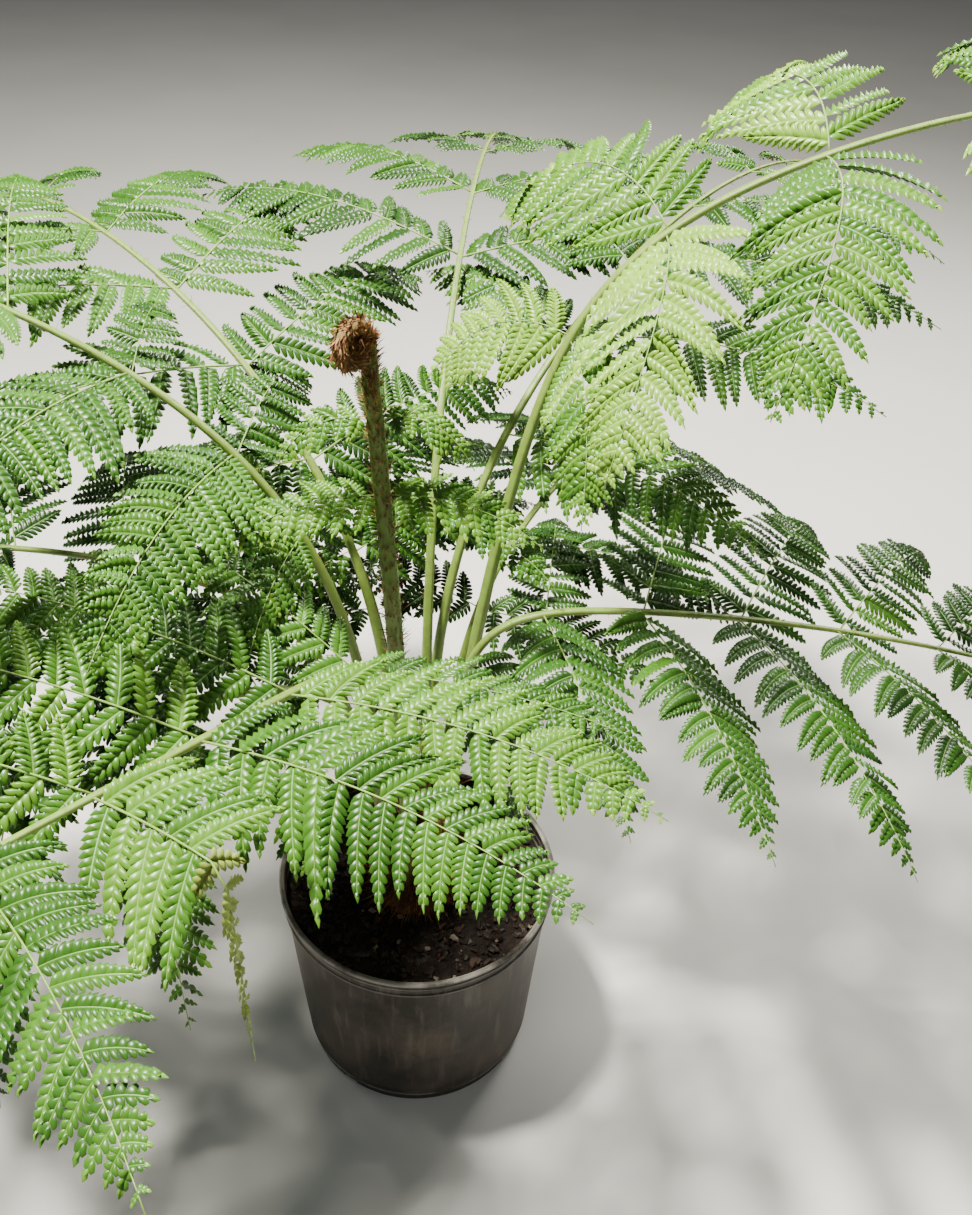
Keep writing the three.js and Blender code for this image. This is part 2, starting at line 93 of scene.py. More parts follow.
def makeStudio():
    bm = bmesh.new()
    bmesh.ops.create_grid(bm, x_segments=1, y_segments=1, size=studio["floorSize"] / 2)
    floor = pieceFromBmesh("floor", bm, [floorMaterial()])
    world = bpy.context.scene.world or bpy.data.worlds.new("world")
    bpy.context.scene.world = world
    world.use_nodes = True
    background = world.node_tree.nodes["Background"]
    background.inputs["Color"].default_value = studio["world"]
    background.inputs["Strength"].default_value = studio["worldStrength"]
    for name, (place, target, size, power, colour) in studio["lights"].items():
        data = bpy.data.lights.new(name, "AREA")
        data.shape = "DISK"
        data.size = size
        data.energy = power
        data.color = colour
        obj = bpy.data.objects.new(name, data)
        obj.location = place
        facing = Vector(target) - Vector(place)
        obj.rotation_euler = facing.to_track_quat("-Z", "Y").to_euler()
        bpy.context.scene.collection.objects.link(obj)


# Meshes from bmesh and from arrays


def linkPiece(name, mesh, materials, smooth=True):
    for material in materials:
        mesh.materials.append(material)
    if smooth:
        mesh.shade_smooth()
    else:
        mesh.shade_flat()
    obj = bpy.data.objects.new(name, mesh)
    bpy.context.scene.collection.objects.link(obj)
    return obj


def pieceFromBmesh(name, bm, materials, smooth=True):
    mesh = bpy.data.meshes.new(name)
    bm.to_mesh(mesh)
    bm.free()
    return linkPiece(name, mesh, materials, smooth)


def pieceFromArrays(name, parts, materials, smooth=True):
    # parts is a list of (vertices, triangles, material index of each triangle)
    starts = np.cumsum([0] + [len(part[0]) for part in parts])
    vertices = np.concatenate([part[0] for part in parts])
    faces = np.concatenate([part[1] + start for part, start in zip(parts, starts)])
    kinds = np.concatenate([part[2] for part in parts])
    mesh = bpy.data.meshes.new(name)
    mesh.vertices.add(len(vertices))
    mesh.vertices.foreach_set("co", vertices.astype(np.float32).ravel())
    mesh.loops.add(faces.size)
    mesh.loops.foreach_set("vertex_index", faces.astype(np.int32).ravel())
    mesh.polygons.add(len(faces))
    mesh.polygons.foreach_set("loop_start", np.arange(0, faces.size, 3, dtype=np.int32))
    mesh.polygons.foreach_set("material_index", kinds.astype(np.int32))
    mesh.update(calc_edges=True)
    mesh.validate()
    return linkPiece(name, mesh, materials, smooth)


def settle(piece, slot, *nodes):
    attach(piece, "root")
    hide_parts(*nodes)


def unit(vectors):
    return vectors / np.maximum(np.linalg.norm(vectors, axis=-1, keepdims=True), 1e-12)


def smoothRamp(low, high, value):
    t = np.clip((value - low) / (high - low), 0, 1)
    return t * t * (3 - 2 * t)


def spinProfile(profile, steps):
    # a turned shape about the Z axis, from (radius, height) points that start and end on the axis
    bm = bmesh.new()
    points = [bm.verts.new((radius, 0, height)) for radius, height in profile]
    edges = [bm.edges.new(pair) for pair in zip(points, points[1:])]
    bmesh.ops.spin(
        bm, geom=points + edges, cent=(0, 0, 0), axis=(0, 0, 1), dvec=(0, 0, 0),
        angle=2 * math.pi, steps=steps, use_merge=True, use_duplicate=False,
    )
    bmesh.ops.remove_doubles(bm, verts=bm.verts, dist=1e-6)
    bmesh.ops.recalc_face_normals(bm, faces=bm.faces)
    return bm


def arc(centreRadius, centreHeight, size, first, last, count):
    # points on a round corner of a profile, by angle in degrees from outwards
    angles = np.radians(np.linspace(first, last, count))
    return [(centreRadius + size * math.cos(a), centreHeight + size * math.sin(a)) for a in angles]


# Shader groups and materials


def addNode(tree, kind, inputs=None, **settings):
    # a node with its settings, and each input either linked to another node's output or given a value
    node = tree.nodes.new(kind)
    for name, value in settings.items():
        setattr(node, name, value)
    for key, value in (inputs or {}).items():
        if hasattr(value, "is_output"):
            tree.links.new(value, node.inputs[key])
        else:
            node.inputs[key].default_value = value
    return node


def calculate(tree, operation, *values):
    return addNode(tree, "ShaderNodeMath", dict(enumerate(values)), operation=operation).outputs[0]


def mixColours(tree, factor, a, b):
    return addNode(tree, "ShaderNodeMix", {"Factor": factor, 6: a, 7: b}, data_type="RGBA").outputs[2]


def rampBetween(tree, value, low, high):
    inputs = {"Value": value, "From Min": low, "From Max": high}
    return addNode(tree, "ShaderNodeMapRange", inputs, interpolation_type="SMOOTHSTEP").outputs["Result"]


def objectPlace(tree):
    return addNode(tree, "ShaderNodeTexCoord").outputs["Object"]


def heightAt(tree):
    return addNode(tree, "ShaderNodeSeparateXYZ", {"Vector": objectPlace(tree)}).outputs["Z"]


def noiseAt(tree, place, scale, detail=4.0, roughness=0.55):
    inputs = {"Vector": place, "Scale": scale, "Detail": detail, "Roughness": roughness}
    return addNode(tree, "ShaderNodeTexNoise", inputs).outputs["Fac"]


def objectNoise(tree, scale, stretch=(1, 1, 1), detail=4.0):
    mapping = addNode(tree, "ShaderNodeMapping", {"Vector": objectPlace(tree), "Scale": stretch})
    return noiseAt(tree, mapping.outputs["Vector"], scale, detail)


def addBump(tree, shader, height, distance, strength=1.0):
    inputs = {"Height": height, "Distance": distance, "Strength": strength}
    bump = addNode(tree, "ShaderNodeBump", inputs)
    tree.links.new(bump.outputs["Normal"], shader.inputs["Normal"])


def newGroup(name, inputs, outputs):
    tree = bpy.data.node_groups.new(name, "ShaderNodeTree")
    for label, kind, value in inputs:
        socket = tree.interface.new_socket(name=label, in_out="INPUT", socket_type=kind)
        socket.default_value = value
    for label, kind in outputs:
        tree.interface.new_socket(name=label, in_out="OUTPUT", socket_type=kind)
    return tree, addNode(tree, "NodeGroupInput").outputs, addNode(tree, "NodeGroupOutput").inputs


def placeGroup(tree, group, **values):
    return addNode(tree, "ShaderNodeGroup", values, node_tree=group)


def newMaterial(name, roughness, **sockets):
    material = bpy.data.materials.new(name)
    material.use_nodes = True
    tree = material.node_tree
    shader = tree.nodes["Principled BSDF"]
    shader.inputs["Roughness"].default_value = roughness
    for label, value in sockets.items():
        shader.inputs[label.replace("_", " ")].default_value = value
    return material, tree, shader


blotchEdges = (0.38, 0.66)  # of the noise, between the first and the second colour


def buildMottle():
    # soft blotches of a second colour, used on leaves, stalks, fibres, mix and floor
    tree, given, result = newGroup(
        "mottle",
        [
            ("Colour", "NodeSocketColor", (0.5, 0.5, 0.5, 1)),
            ("Second", "NodeSocketColor", (0.3, 0.3, 0.3, 1)),
            ("Scale", "NodeSocketFloat", 60.0),
            ("Amount", "NodeSocketFloat", 0.5),
        ],
        [("Colour", "NodeSocketColor")],
    )
    mask = rampBetween(tree, noiseAt(tree, objectPlace(tree), given["Scale"]), *blotchEdges)
    share = calculate(tree, "MULTIPLY", mask, given["Amount"])
    tree.links.new(mixColours(tree, share, given["Colour"], given["Second"]), result["Colour"])
    return tree


dustLook = {
    "cloudDetail": 6.0, "cloudRoughness": 0.62, "cloudEdges": (0.36, 0.74),
    "grainScale": 420.0, "grainDetail": 3.0, "grainEdges": (0.5, 0.72), "grainShare": 0.45,
}


def buildDust():
    # pale dust that clings in clouds and in fine specks
    tree, given, result = newGroup(
        "dust",
        [
            ("Colour", "NodeSocketColor", (0.03, 0.03, 0.03, 1)),
            ("Dust", "NodeSocketColor", (0.3, 0.27, 0.24, 1)),
            ("Amount", "NodeSocketFloat", 0.4),
            ("Scale", "NodeSocketFloat", 14.0),
        ],
        [("Colour", "NodeSocketColor"), ("Mask", "NodeSocketFloat")],
    )
    place = objectPlace(tree)
    clouds = noiseAt(tree, place, given["Scale"], dustLook["cloudDetail"], dustLook["cloudRoughness"])
    grains = noiseAt(tree, place, dustLook["grainScale"], dustLook["grainDetail"])
    cloudMask = rampBetween(tree, clouds, *dustLook["cloudEdges"])
    grainMask = rampBetween(tree, grains, *dustLook["grainEdges"])
    both = calculate(tree, "MULTIPLY_ADD", grainMask, dustLook["grainShare"], cloudMask)
    share = calculate(tree, "MULTIPLY", both, given["Amount"])
    tree.links.new(mixColours(tree, share, given["Colour"], given["Dust"]), result["Colour"])
    tree.links.new(share, result["Mask"])
    return tree


def floorMaterial():
    material, tree, shader = newMaterial("paleFloor", 0.9)
    colours = {"Colour": studio["floorColour"], "Second": studio["floorSecond"]}
    group = placeGroup(tree, mottle, Scale=studio["floorBlotches"], Amount=0.5, **colours)
    tree.links.new(group.outputs["Colour"], shader.inputs["Base Color"])
    return material


def heightLines(tree, lines):
    # a mask of thin pale lines round the pot, partly wear and partly a painted highlight where the raised
    # edges catch the light, from (height, half-width, strength) rows
    height = heightAt(tree)
    total = None
    for middle, half, strength in lines:
        away = calculate(tree, "ABSOLUTE", calculate(tree, "SUBTRACT", height, middle))
        line = calculate(tree, "MULTIPLY", rampBetween(tree, away, half, 0.3 * half), strength)
        total = line if total is None else calculate(tree, "MAXIMUM", total, line)
    return total


plastic = {
    "black": (0.014, 0.012, 0.009, 1),
    "scuffed": (0.08, 0.066, 0.052, 1),
    "scuffShare": 0.8,
    "scuffScale": 90,
    "scuffStretch": (1, 1, 0.12),
    "scuffEdges": (0.52, 0.72),
    "relief": 0.0006,
    "dust": (0.18, 0.145, 0.115, 1),
    "dustShare": 0.46,
    "dustScale": 11.0,
    "clean": 0.42,  # roughness without dust
    "dull": 0.85,  # roughness under dust
    # colour of the raised lines: partly wear, partly a painted highlight
    "wearAndHighlight": (0.3, 0.28, 0.25, 1),
    "patchScale": 26,  # of the patches in which the pale lines show
    "patchStretch": (1, 1, 0.5),
    "patchEdges": (0.36, 0.58),
    # pale lines, partly wear and partly a painted highlight: the lip's edge, the two raised lines under it
    # and the ring at the wall's foot
    "lines": ((0.2745, 0.0022, 0.85), (0.2625, 0.0013, 0.6), (0.2516, 0.0016, 0.45), (0.0148, 0.0016, 0.75)),
}


def plasticMaterial():
    # black moulded plastic under warm dust, scuffed along its height, with pale lines on its raised edges
    # that are partly wear and partly a painted highlight
    material, tree, shader = newMaterial("dustyBlackPlastic", 0.5, Specular_IOR_Level=0.4)
    scuffs = objectNoise(tree, plastic["scuffScale"], plastic["scuffStretch"], 5.0)
    scuffMask = rampBetween(tree, scuffs, *plastic["scuffEdges"])
    scuffMask = calculate(tree, "MULTIPLY", scuffMask, plastic["scuffShare"])
    skin = mixColours(tree, scuffMask, plastic["black"], plastic["scuffed"])
    amounts = {"Amount": plastic["dustShare"], "Scale": plastic["dustScale"]}
    dusty = placeGroup(tree, dust, Colour=skin, Dust=plastic["dust"], **amounts).outputs
    patches = objectNoise(tree, plastic["patchScale"], plastic["patchStretch"], 6.0)
    patches = rampBetween(tree, patches, *plastic["patchEdges"])
    lines = calculate(tree, "MULTIPLY", heightLines(tree, plastic["lines"]), patches)
    # the raised lines are made pale: partly wear, partly a painted highlight
    edged = mixColours(tree, lines, dusty["Colour"], plastic["wearAndHighlight"])
    tree.links.new(edged, shader.inputs["Base Color"])
    inputs = {"Value": dusty["Mask"], "To Min": plastic["clean"], "To Max": plastic["dull"]}
    roughness = addNode(tree, "ShaderNodeMapRange", inputs)
    tree.links.new(roughness.outputs["Result"], shader.inputs["Roughness"])
    addBump(tree, shader, scuffs, plastic["relief"], 0.5)
    return material


roughLook = {"specular": 0.25, "blotchShare": 0.8, "grain": 3.1, "grainDetail": 5.0}  # grain in blotch scales


def roughMaterial(name, colour, second, scale, bump, roughness=0.92):
    # a dull mottled surface with fine relief
    material, tree, shader = newMaterial(name, roughness, Specular_IOR_Level=roughLook["specular"])
    blotches = {"Second": second, "Scale": scale, "Amount": roughLook["blotchShare"]}
    group = placeGroup(tree, mottle, Colour=colour, **blotches)
    tree.links.new(group.outputs["Colour"], shader.inputs["Base Color"])
    grain = objectNoise(tree, scale * roughLook["grain"], detail=roughLook["grainDetail"])
    addBump(tree, shader, grain, bump)
    return material


streak = {
    "scale": 150, "stretch": (1, 1, 0.15), "reach": 0.14, "relief": 0.0006,
    "spots": (0.1, 0.09, 0.03, 1), "spotScale": 110.0, "spotShare": 0.3,
}


def stalkMaterial(name, low, high, brown, green):
    # scaly brown at the foot, turning green between two heights along a streaky edge
    material, tree, shader = newMaterial(name, 0.5)
    streaks = objectNoise(tree, streak["scale"], streak["stretch"])
    height = calculate(tree, "MULTIPLY_ADD", streaks, streak["reach"], heightAt(tree))
    shift = streak["reach"] / 2
    colour = mixColours(tree, rampBetween(tree, height, low + shift, high + shift), brown, green)
    spots = {"Second": streak["spots"], "Scale": streak["spotScale"], "Amount": streak["spotShare"]}
    group = placeGroup(tree, mottle, Colour=colour, **spots)
    tree.links.new(group.outputs["Colour"], shader.inputs["Base Color"])
    addBump(tree, shader, streaks, streak["relief"])
    return material


leafLook = {
    "specular": 0.32,
    "darker": 0.72,  # the blotches' colour in shares of the leaf's
    "blotchScale": 26.0,
    "blotchShare": 0.6,
    "bladeRoughness": 0.34,
    "veinRoughness": 0.5,
    "dryRoughness": 0.6,
}


def leafMaterial(name, colour, underside, roughness):
    # the colour it is given above, which on the blades holds painted light or shade, mottled a little darker,
    # and its underside's colour below
    material, tree, shader = newMaterial(name, roughness, Specular_IOR_Level=leafLook["specular"])
    darker = tuple(leafLook["darker"] * c for c in colour[:3]) + (1,)
    blotches = {"Second": darker, "Scale": leafLook["blotchScale"], "Amount": leafLook["blotchShare"]}
    group = placeGroup(tree, mottle, Colour=colour, **blotches)
    side = addNode(tree, "ShaderNodeNewGeometry")
    both = mixColours(tree, side.outputs["Backfacing"], group.outputs["Colour"], underside)
    tree.links.new(both, shader.inputs["Base Color"])
    return material


# Plain base colours that the sprays are dealt, with painted light and shade in them: steps from painted deep
# shade to painted sunlight
leafColours = {
    "leafDeep": (0.007, 0.028, 0.003, 1),
    "leafShade": (0.014, 0.052, 0.005, 1),
    "leafMid": (0.026, 0.088, 0.007, 1),
    "leafHalfLit": (0.048, 0.14, 0.011, 1),
    "leafLit": (0.092, 0.22, 0.018, 1),
    "leafSunlit": (0.19, 0.35, 0.035, 1),
}
undersideColour = (0.05, 0.11, 0.025, 1)
veinColour = (0.11, 0.21, 0.035, 1)
dryColour = (0.2, 0.27, 0.04, 1)

mottle = buildMottle()
dust = buildDust()
leafMaterials = []
for shadeName, shadeColour in leafColours.items():
    leafMaterials.append(leafMaterial(shadeName, shadeColour, undersideColour, leafLook["bladeRoughness"]))
leafMaterials.append(leafMaterial("leafVein", veinColour, veinColour, leafLook["veinRoughness"]))
leafMaterials.append(leafMaterial("leafDry", dryColour, dryColour, leafLook["dryRoughness"]))
veinKind = len(leafColours)
dryKind = veinKind + 1
ribGreen = stalkMaterial("ribGreen", -1, -0.9, (0.2, 0.3, 0.06, 1), (0.2, 0.34, 0.06, 1))
stalkSkin = stalkMaterial("stalkSkin", 0.27, 0.5, (0.1, 0.045, 0.018, 1), (0.15, 0.25, 0.03, 1))
scaleGold = roughMaterial("scaleGold", (0.32, 0.15, 0.045, 1), (0.18, 0.075, 0.025, 1), 200, 0.0002, 0.6)
scaleDark = roughMaterial("scaleDark", (0.12, 0.05, 0.02, 1), (0.07, 0.03, 0.014, 1), 200, 0.0002, 0.6)
fibreBrown = roughMaterial("fibreBrown", (0.2, 0.09, 0.032, 1), (0.075, 0.033, 0.015, 1), 120, 0.0015)
soilDark = roughMaterial("soilDark", (0.012, 0.0085, 0.007, 1), (0.026, 0.017, 0.012, 1), 160, 0.002)
barkRed = roughMaterial("barkRed", (0.05, 0.024, 0.015, 1), (0.03, 0.015, 0.01, 1), 220, 0.0006, 0.6)
barkDark = roughMaterial("barkDark", (0.018, 0.012, 0.009, 1), (0.036, 0.025, 0.019, 1), 220, 0.0006, 0.45)
barkPale = roughMaterial("barkPale", (0.24, 0.19, 0.15, 1), (0.16, 0.12, 0.09, 1), 220, 0.0004)
print("materials ready")


# Random numbers drawn in the same order as the solids draw theirs


def makeRandom(seed):
    state = [seed]

    def draw():
        state[0] = (state[0] * 1664525 + 1013904223) % 4294967296
        return state[0] / 4294967296

    return draw


# The frond rule

leaf = {
    "closest": 0.42,  # least share of the spacing between pairs of pinnae
    "closing": 1.25,
    "angleFall": 36,  # degrees by which the pinnae lean forward towards the frond's tip
    "firstShare": 0.7,  # length of the first pinnae in shares of the longest
    "longestAt": 0.34,
    "taper": 2.2,
    "halfWidth": 0.2,  # of a pinna, in shares of its length
    "baseShare": 0.72,
    "fullFrom": 0.25,
    "tipPower": 0.6,
    "sweep": 0.42,  # forward lean of the leaflets
    "bare": 0.014,  # rib without leaflets at a pinna's foot
    "bareRight": 1.4,  # times as long on the right, so that the leaflets alternate
    "leafyTo": 0.985,
    "stagger": 0.0015,
    "shortest": 0.036,
    "endBare": 0.02,
    "tipBlade": 0.105,  # length of the blade that ends a frond
    "tipFrom": 0.012,
    "lengthSteps": (1, 0.84, 0.68, 0.52, 0.38),
    "firstSeed": 101,
    "footAbove": 0.254,  # height that the feet are measured from
    "wiltBend": 0.08,
    "wiltWidth": 0.3,
    "lineSteps": 80,
    "ribSteps": 16,
    "tipReach": 0.002,  # a pinna's tip is found within this of the solid's
}
stray = {"length": 0.04, "angle": 2, "lift": 3, "sag": 0.15}
stem = {"foot": 0.0082, "split": 0.0048, "tip": 0.0017, "splitBefore": 0.028, "endBefore": 0.006}

frondColumns = (
    "footAt", "footOut", "footUp", "length", "azimuth", "turn", "sweep", "roll", "lean", "bend", "bendAt",
    "bendWidth", "droop", "first", "longest", "sag", "lift", "angle", "curl", "spacing", "louvre", "tone",
)
# tone: a frond's step in the leaf colours, high for fronds painted as in sunlight and low for fronds painted
# as in shade
frondRows = {
    "front_left": (
        255, 0.038, 0.004, 1.02, 235, 11, -20, -3, 89.5, 76, 0.388, 0.074,
        13, 0.43, 0.375, 0.18, 18, 90, 0.25, 0.1, 30, 3.1,
    ),
    "right": (
        8, 0.038, 0.004, 0.99, 37, -18, -34, -3, 89, 88, 0.37, 0.06,
        8, 0.345, 0.345, 0.3, 7, 84, 0, 0.1, 20, 1.9,
    ),
    "right_high": (
        35, 0.025, 0.016, 1.255, 38, -36, -12, 15, 82.3, 33, 0.718, 0.108,
        52, 0.669, 0.291, 0.8, 19, 94, -0.8, 0.143, 8, 4.3,
    ),
    "back_left": (
        122, 0.026, 0.016, 1.13, 134, 0, 10, 0, 85, 46, 0.45, 0.18,
        55, 0.42, 0.37, 0.38, 8, 84, 0, 0.118, 14, 2.3,
    ),
    "back": (
        78, 0.026, 0.016, 1.12, 90, 0, -6, 0, 86, 48, 0.47, 0.18,
        50, 0.42, 0.37, 0.38, 8, 84, 0, 0.118, 14, 2,
    ),
    "left": (
        186, 0.042, 0.004, 0.96, 168, 0, 10, 0, 85, 72, 0.38, 0.11,
        35, 0.36, 0.34, 0.4, 6, 82, 0, 0.112, 14, 1.3,
    ),
    "left_front": (
        218, 0.04, 0.004, 1.05, 214, -4, -6, 0, 87, 76, 0.345, 0.08,
        42, 0.43, 0.34, 0.7, 14, 78, -0.2, 0.104, 26, 2.1,
    ),
    "right_back": (
        58, 0.043, 0.004, 0.9, 68, 0, -6, 0, 84, 74, 0.33, 0.11,
        40, 0.34, 0.33, 0.45, 4, 82, 0, 0.112, 14, 1.4,
    ),
    "left_back": (
        118, 0.045, 0.004, 0.88, 112, 0, 6, 0, 84, 78, 0.32, 0.11,
        35, 0.33, 0.33, 0.45, 4, 82, 0, 0.112, 14, 1.4,
    ),
    "left_high": (
        164, 0.026, 0.016, 1.16, 160, 0, 22, 0, 84, 40, 0.5, 0.17,
        58, 0.47, 0.35, 0.4, 8, 84, 0, 0.118, 16, 2.3,
    ),
    "back_right": (
        90, 0.045, 0.006, 1.16, 56, 0, -8, 0, 86, 44, 0.48, 0.17,
        56, 0.45, 0.35, 0.4, 8, 84, 0, 0.118, 14, 2.3,
    ),
}
fronds = {name: dict(zip(frondColumns, row)) for name, row in frondRows.items()}
skews = {"front_left": 18}  # degrees that left pinnae lean back and right ones forward
wilted = {"front_left": (3, 0.36)}  # pair whose left pinna has wilted, and from which share of its rib
broad = {"right_high": 0.28}  # half-width of the pinnae where it isn't the shared one


def travelAngles(frond, u):
    def step(v):
        return 0.5 * (1 + np.tanh((v * frond["length"] - frond["bendAt"]) / frond["bendWidth"]))

    bent = (step(u) - step(0)) / (1 - step(0))
    azimuth = frond["azimuth"] + frond["turn"] * bent + frond["sweep"] * u
    elevation = frond["lean"] - frond["bend"] * bent - frond["droop"] * u**2.5
    return np.radians(azimuth), np.radians(elevation)


def travel(frond, u):
    azimuth, elevation = travelAngles(frond, u)
    level = np.cos(elevation)
    return np.stack([level * np.cos(azimuth), level * np.sin(azimuth), np.sin(elevation)], -1)


def turnAbout(vectors, axis, angle):
    # vectors turned about unit axes, by angles in radians
    cosine, sine = np.cos(angle), np.sin(angle)
    cosine, sine = np.asarray(cosine)[..., None], np.asarray(sine)[..., None]
    along = np.sum(vectors * axis, -1, keepdims=True)
    return vectors * cosine + np.cross(axis, vectors) * sine + axis * along * (1 - cosine)


def frameAt(frond, u):
    # along the frond, across to its left, and its upper face's normal
    along = travel(frond, u)
    azimuth = travelAngles(frond, u)[0]
    across = np.stack([-np.sin(azimuth), np.cos(azimuth), np.zeros_like(azimuth)], -1)
    across = turnAbout(across, along, np.full(np.shape(azimuth), math.radians(frond["roll"])))
    return along, across, np.cross(along, across)


def centreLine(frond):
    foot = math.radians(frond["footAt"])
    out = frond["footOut"]
    start = np.array([out * math.cos(foot), out * math.sin(foot), leaf["footAbove"] + frond["footUp"]])
    shares = (np.arange(leaf["lineSteps"]) + 0.5) / leaf["lineSteps"]
    steps = travel(frond, shares) * frond["length"] / leaf["lineSteps"]
    return start + np.concatenate([np.zeros((1, 3)), np.cumsum(steps, 0)])


def pointAt(points, share):
    place = np.clip(share, 0, 1) * (len(points) - 1)
    rows = np.arange(len(points))
    return np.stack([np.interp(place, rows, points[:, k]) for k in range(3)], -1)


def pinnaShare(frond, distance):
    u = (distance - frond["first"]) / (frond["length"] - frond["first"])
    at = leaf["longestAt"]
    if u < at:
        return 1 - (1 - leaf["firstShare"]) * ((at - u) / at) ** 2
    return max(0, 1 - ((u - at) / (1 - at)) ** leaf["taper"])


def ribLine(start, heading, curlTowards, length, sag, curl, wiltedFrom=1):
    shares = (np.arange(leaf["ribSteps"]) + 0.5) / leaf["ribSteps"]
    now = heading - np.outer(2 * sag * shares**1.5, up) + np.outer(curl * shares, curlTowards)
    hang = np.clip((shares - wiltedFrom) / leaf["wiltBend"], 0, 1)[:, None]
    now = unit(unit(now) * (1 - hang) - up * hang)
    points = start + np.concatenate([np.zeros((1, 3)), np.cumsum(now * length / leaf["ribSteps"], 0)])
    return points, np.concatenate([now, now[-1:]])


def pinnaWidth(t):
    opening = leaf["baseShare"] + (1 - leaf["baseShare"]) * np.minimum(1, t / leaf["fullFrom"])
    return opening * ((1 - t) / (1 - leaf["fullFrom"])) ** leaf["tipPower"]


def solidTips(node):
    # every corner of a frond's solid, to look up which lengths its pinnae have
    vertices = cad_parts[node].data.vertices
    tree = KDTree(len(vertices))
    for i, vertex in enumerate(vertices):
        tree.insert(vertex.co, i)
    tree.balance()
    return tree


def growPinnae(name, frond, seed):
    # the pinnae of one frond, each as long as its solid
    corners = solidTips("frond_" + name)
    random = makeRandom(seed)
    line = centreLine(frond)
    length = frond["length"]
    skew = skews.get(name, 0)
    wiltedPair, wiltedShare = wilted.get(name, (-1, 1))
    halfWidth = broad.get(name, leaf["halfWidth"])
    grown = []
    pair = 0
    distance = frond["first"]
    while distance < length - leaf["endBare"]:
        share = pinnaShare(frond, distance)
        along, across, normal = frameAt(frond, distance / length)
        for side in (1, -1):
            wanted = frond["longest"] * share * (1 + stray["length"] * (2 * random() - 1))
            forward = leaf["angleFall"] * (distance - frond["first"]) / (length - frond["first"])
            angle = frond["angle"] + side * skew - forward + stray["angle"] * (2 * random() - 1)
            turn = math.radians(angle)
            lift = math.radians(frond["lift"] + stray["lift"] * (2 * random() - 1))
            sag = frond["sag"] * (1 + stray["sag"] * (2 * random() - 1))
            start = pointAt(line, (distance + side * leaf["stagger"]) / length)
            outwards = across * side * math.cos(lift) + normal * math.sin(lift)
            heading = along * math.cos(turn) + outwards * math.sin(turn)
            wiltedFrom = wiltedShare if side > 0 and pair == wiltedPair else 1
            for step in leaf["lengthSteps"]:
                size = wanted * step
                if size < leaf["shortest"]:
                    break
                points, headings = ribLine(start, heading, along, size, sag, frond["curl"], wiltedFrom)
                if corners.find(Vector(points[-1]))[2] < leaf["tipReach"]:
                    louvre = math.radians(side * frond["louvre"])
                    grown.append((points, headings, normal, size, louvre, wiltedFrom, halfWidth))
                    break
        distance += frond["spacing"] * max(leaf["closest"], min(1, share * leaf["closing"]))
        pair += 1
    along, _, normal = frameAt(frond, 1.0)
    start = pointAt(line, 1 - leaf["tipFrom"] / length)
    points, headings = ribLine(start, along, along, leaf["tipBlade"], frond["sag"], 0)
    if corners.find(Vector(points[-1]))[2] < leaf["tipReach"]:
        grown.append((points, headings, normal, leaf["tipBlade"], 0.0, 1, leaf["halfWidth"]))
    return line, grown


# Leaflets: blades cut into round lobes, each lobe a small dome beside the sunken midrib

leaflet = {
    "spacing": 0.0275,  # between leaflets near the foot of a long pinna
    "fullLength": 0.36,  # pinna length that the spacing is for
    "closing": 0.55,  # share of the spacing lost by the pinna's tip
    "width": 0.5,  # half-width in shares of the spacing
    "widening": 0.2,  # share by which they grow wider towards the pinna's tip
    "widest": 0.4,  # half-width in shares of the leaflet's length, at most
    "dome": 0.27,  # height of a lobe in half-widths
    "uneven": 0.3,  # share by which the domes differ along a leaflet
    "lastDome": 0.4,  # height of the lobe at the tip in shares of the others
    "topOut": 0.52,  # how far out the top of a dome lies
    "groove": -0.12,
    "rib": 0.034,
    "shift": 0.09,  # forward sweep of the lobes
    "cutAtFoot": 0.16,  # blade left between the lowest lobes, in shares of the half-width
    "cutAtTip": 0.8,
    "cutPower": 2.4,
    "notchRise": -0.1,
    "curl": 0.16,  # how far the lobes' edges turn down
    "droop": 0.26,
    "curve": 0.16,
    "smallest": 0.45,  # least share of the spacing, on short pinnae
    "smallPower": 0.4,
    "slimFrom": 0.74,  # share of the pinna from which its outline narrows to a drawn-out tip
    "slimTo": 0.95,
    "slim": 0.4,
    "strayAngle": 0.09,
    "strayTwist": 0.3,
    "straySize": 0.08,
    "strayTone": 0.35,
    "lobes": ((0.056, 12), (0.044, 10), (0.032, 8), (0.017, 5), (0, 3)),  # least length, lobes to a side
    "fine": (8, 10),  # from and to which count of lobes their edges have five points in place of three
}
# a lobe's edge as (share of its pitch, share of the half-width, share of the curl)
lobeEdge = {
    "fine": ((0.05, 0.62, 0.4), (0.18, 0.9, 1), (0.5, 1, 1.2), (0.83, 0.9, 1), (0.95, 0.6, 0.4)),
    "plain": ((0.1, 0.76, 0.8), (0.5, 1, 1.2), (0.91, 0.74, 0.8)),
}


def leafletHalf(x):
    # half-width along a leaflet: a little narrower at its foot and blunt at its tip
    return (1 - x**2.3) ** 0.85 * (0.8 + 0.2 * min(1, x / 0.1))


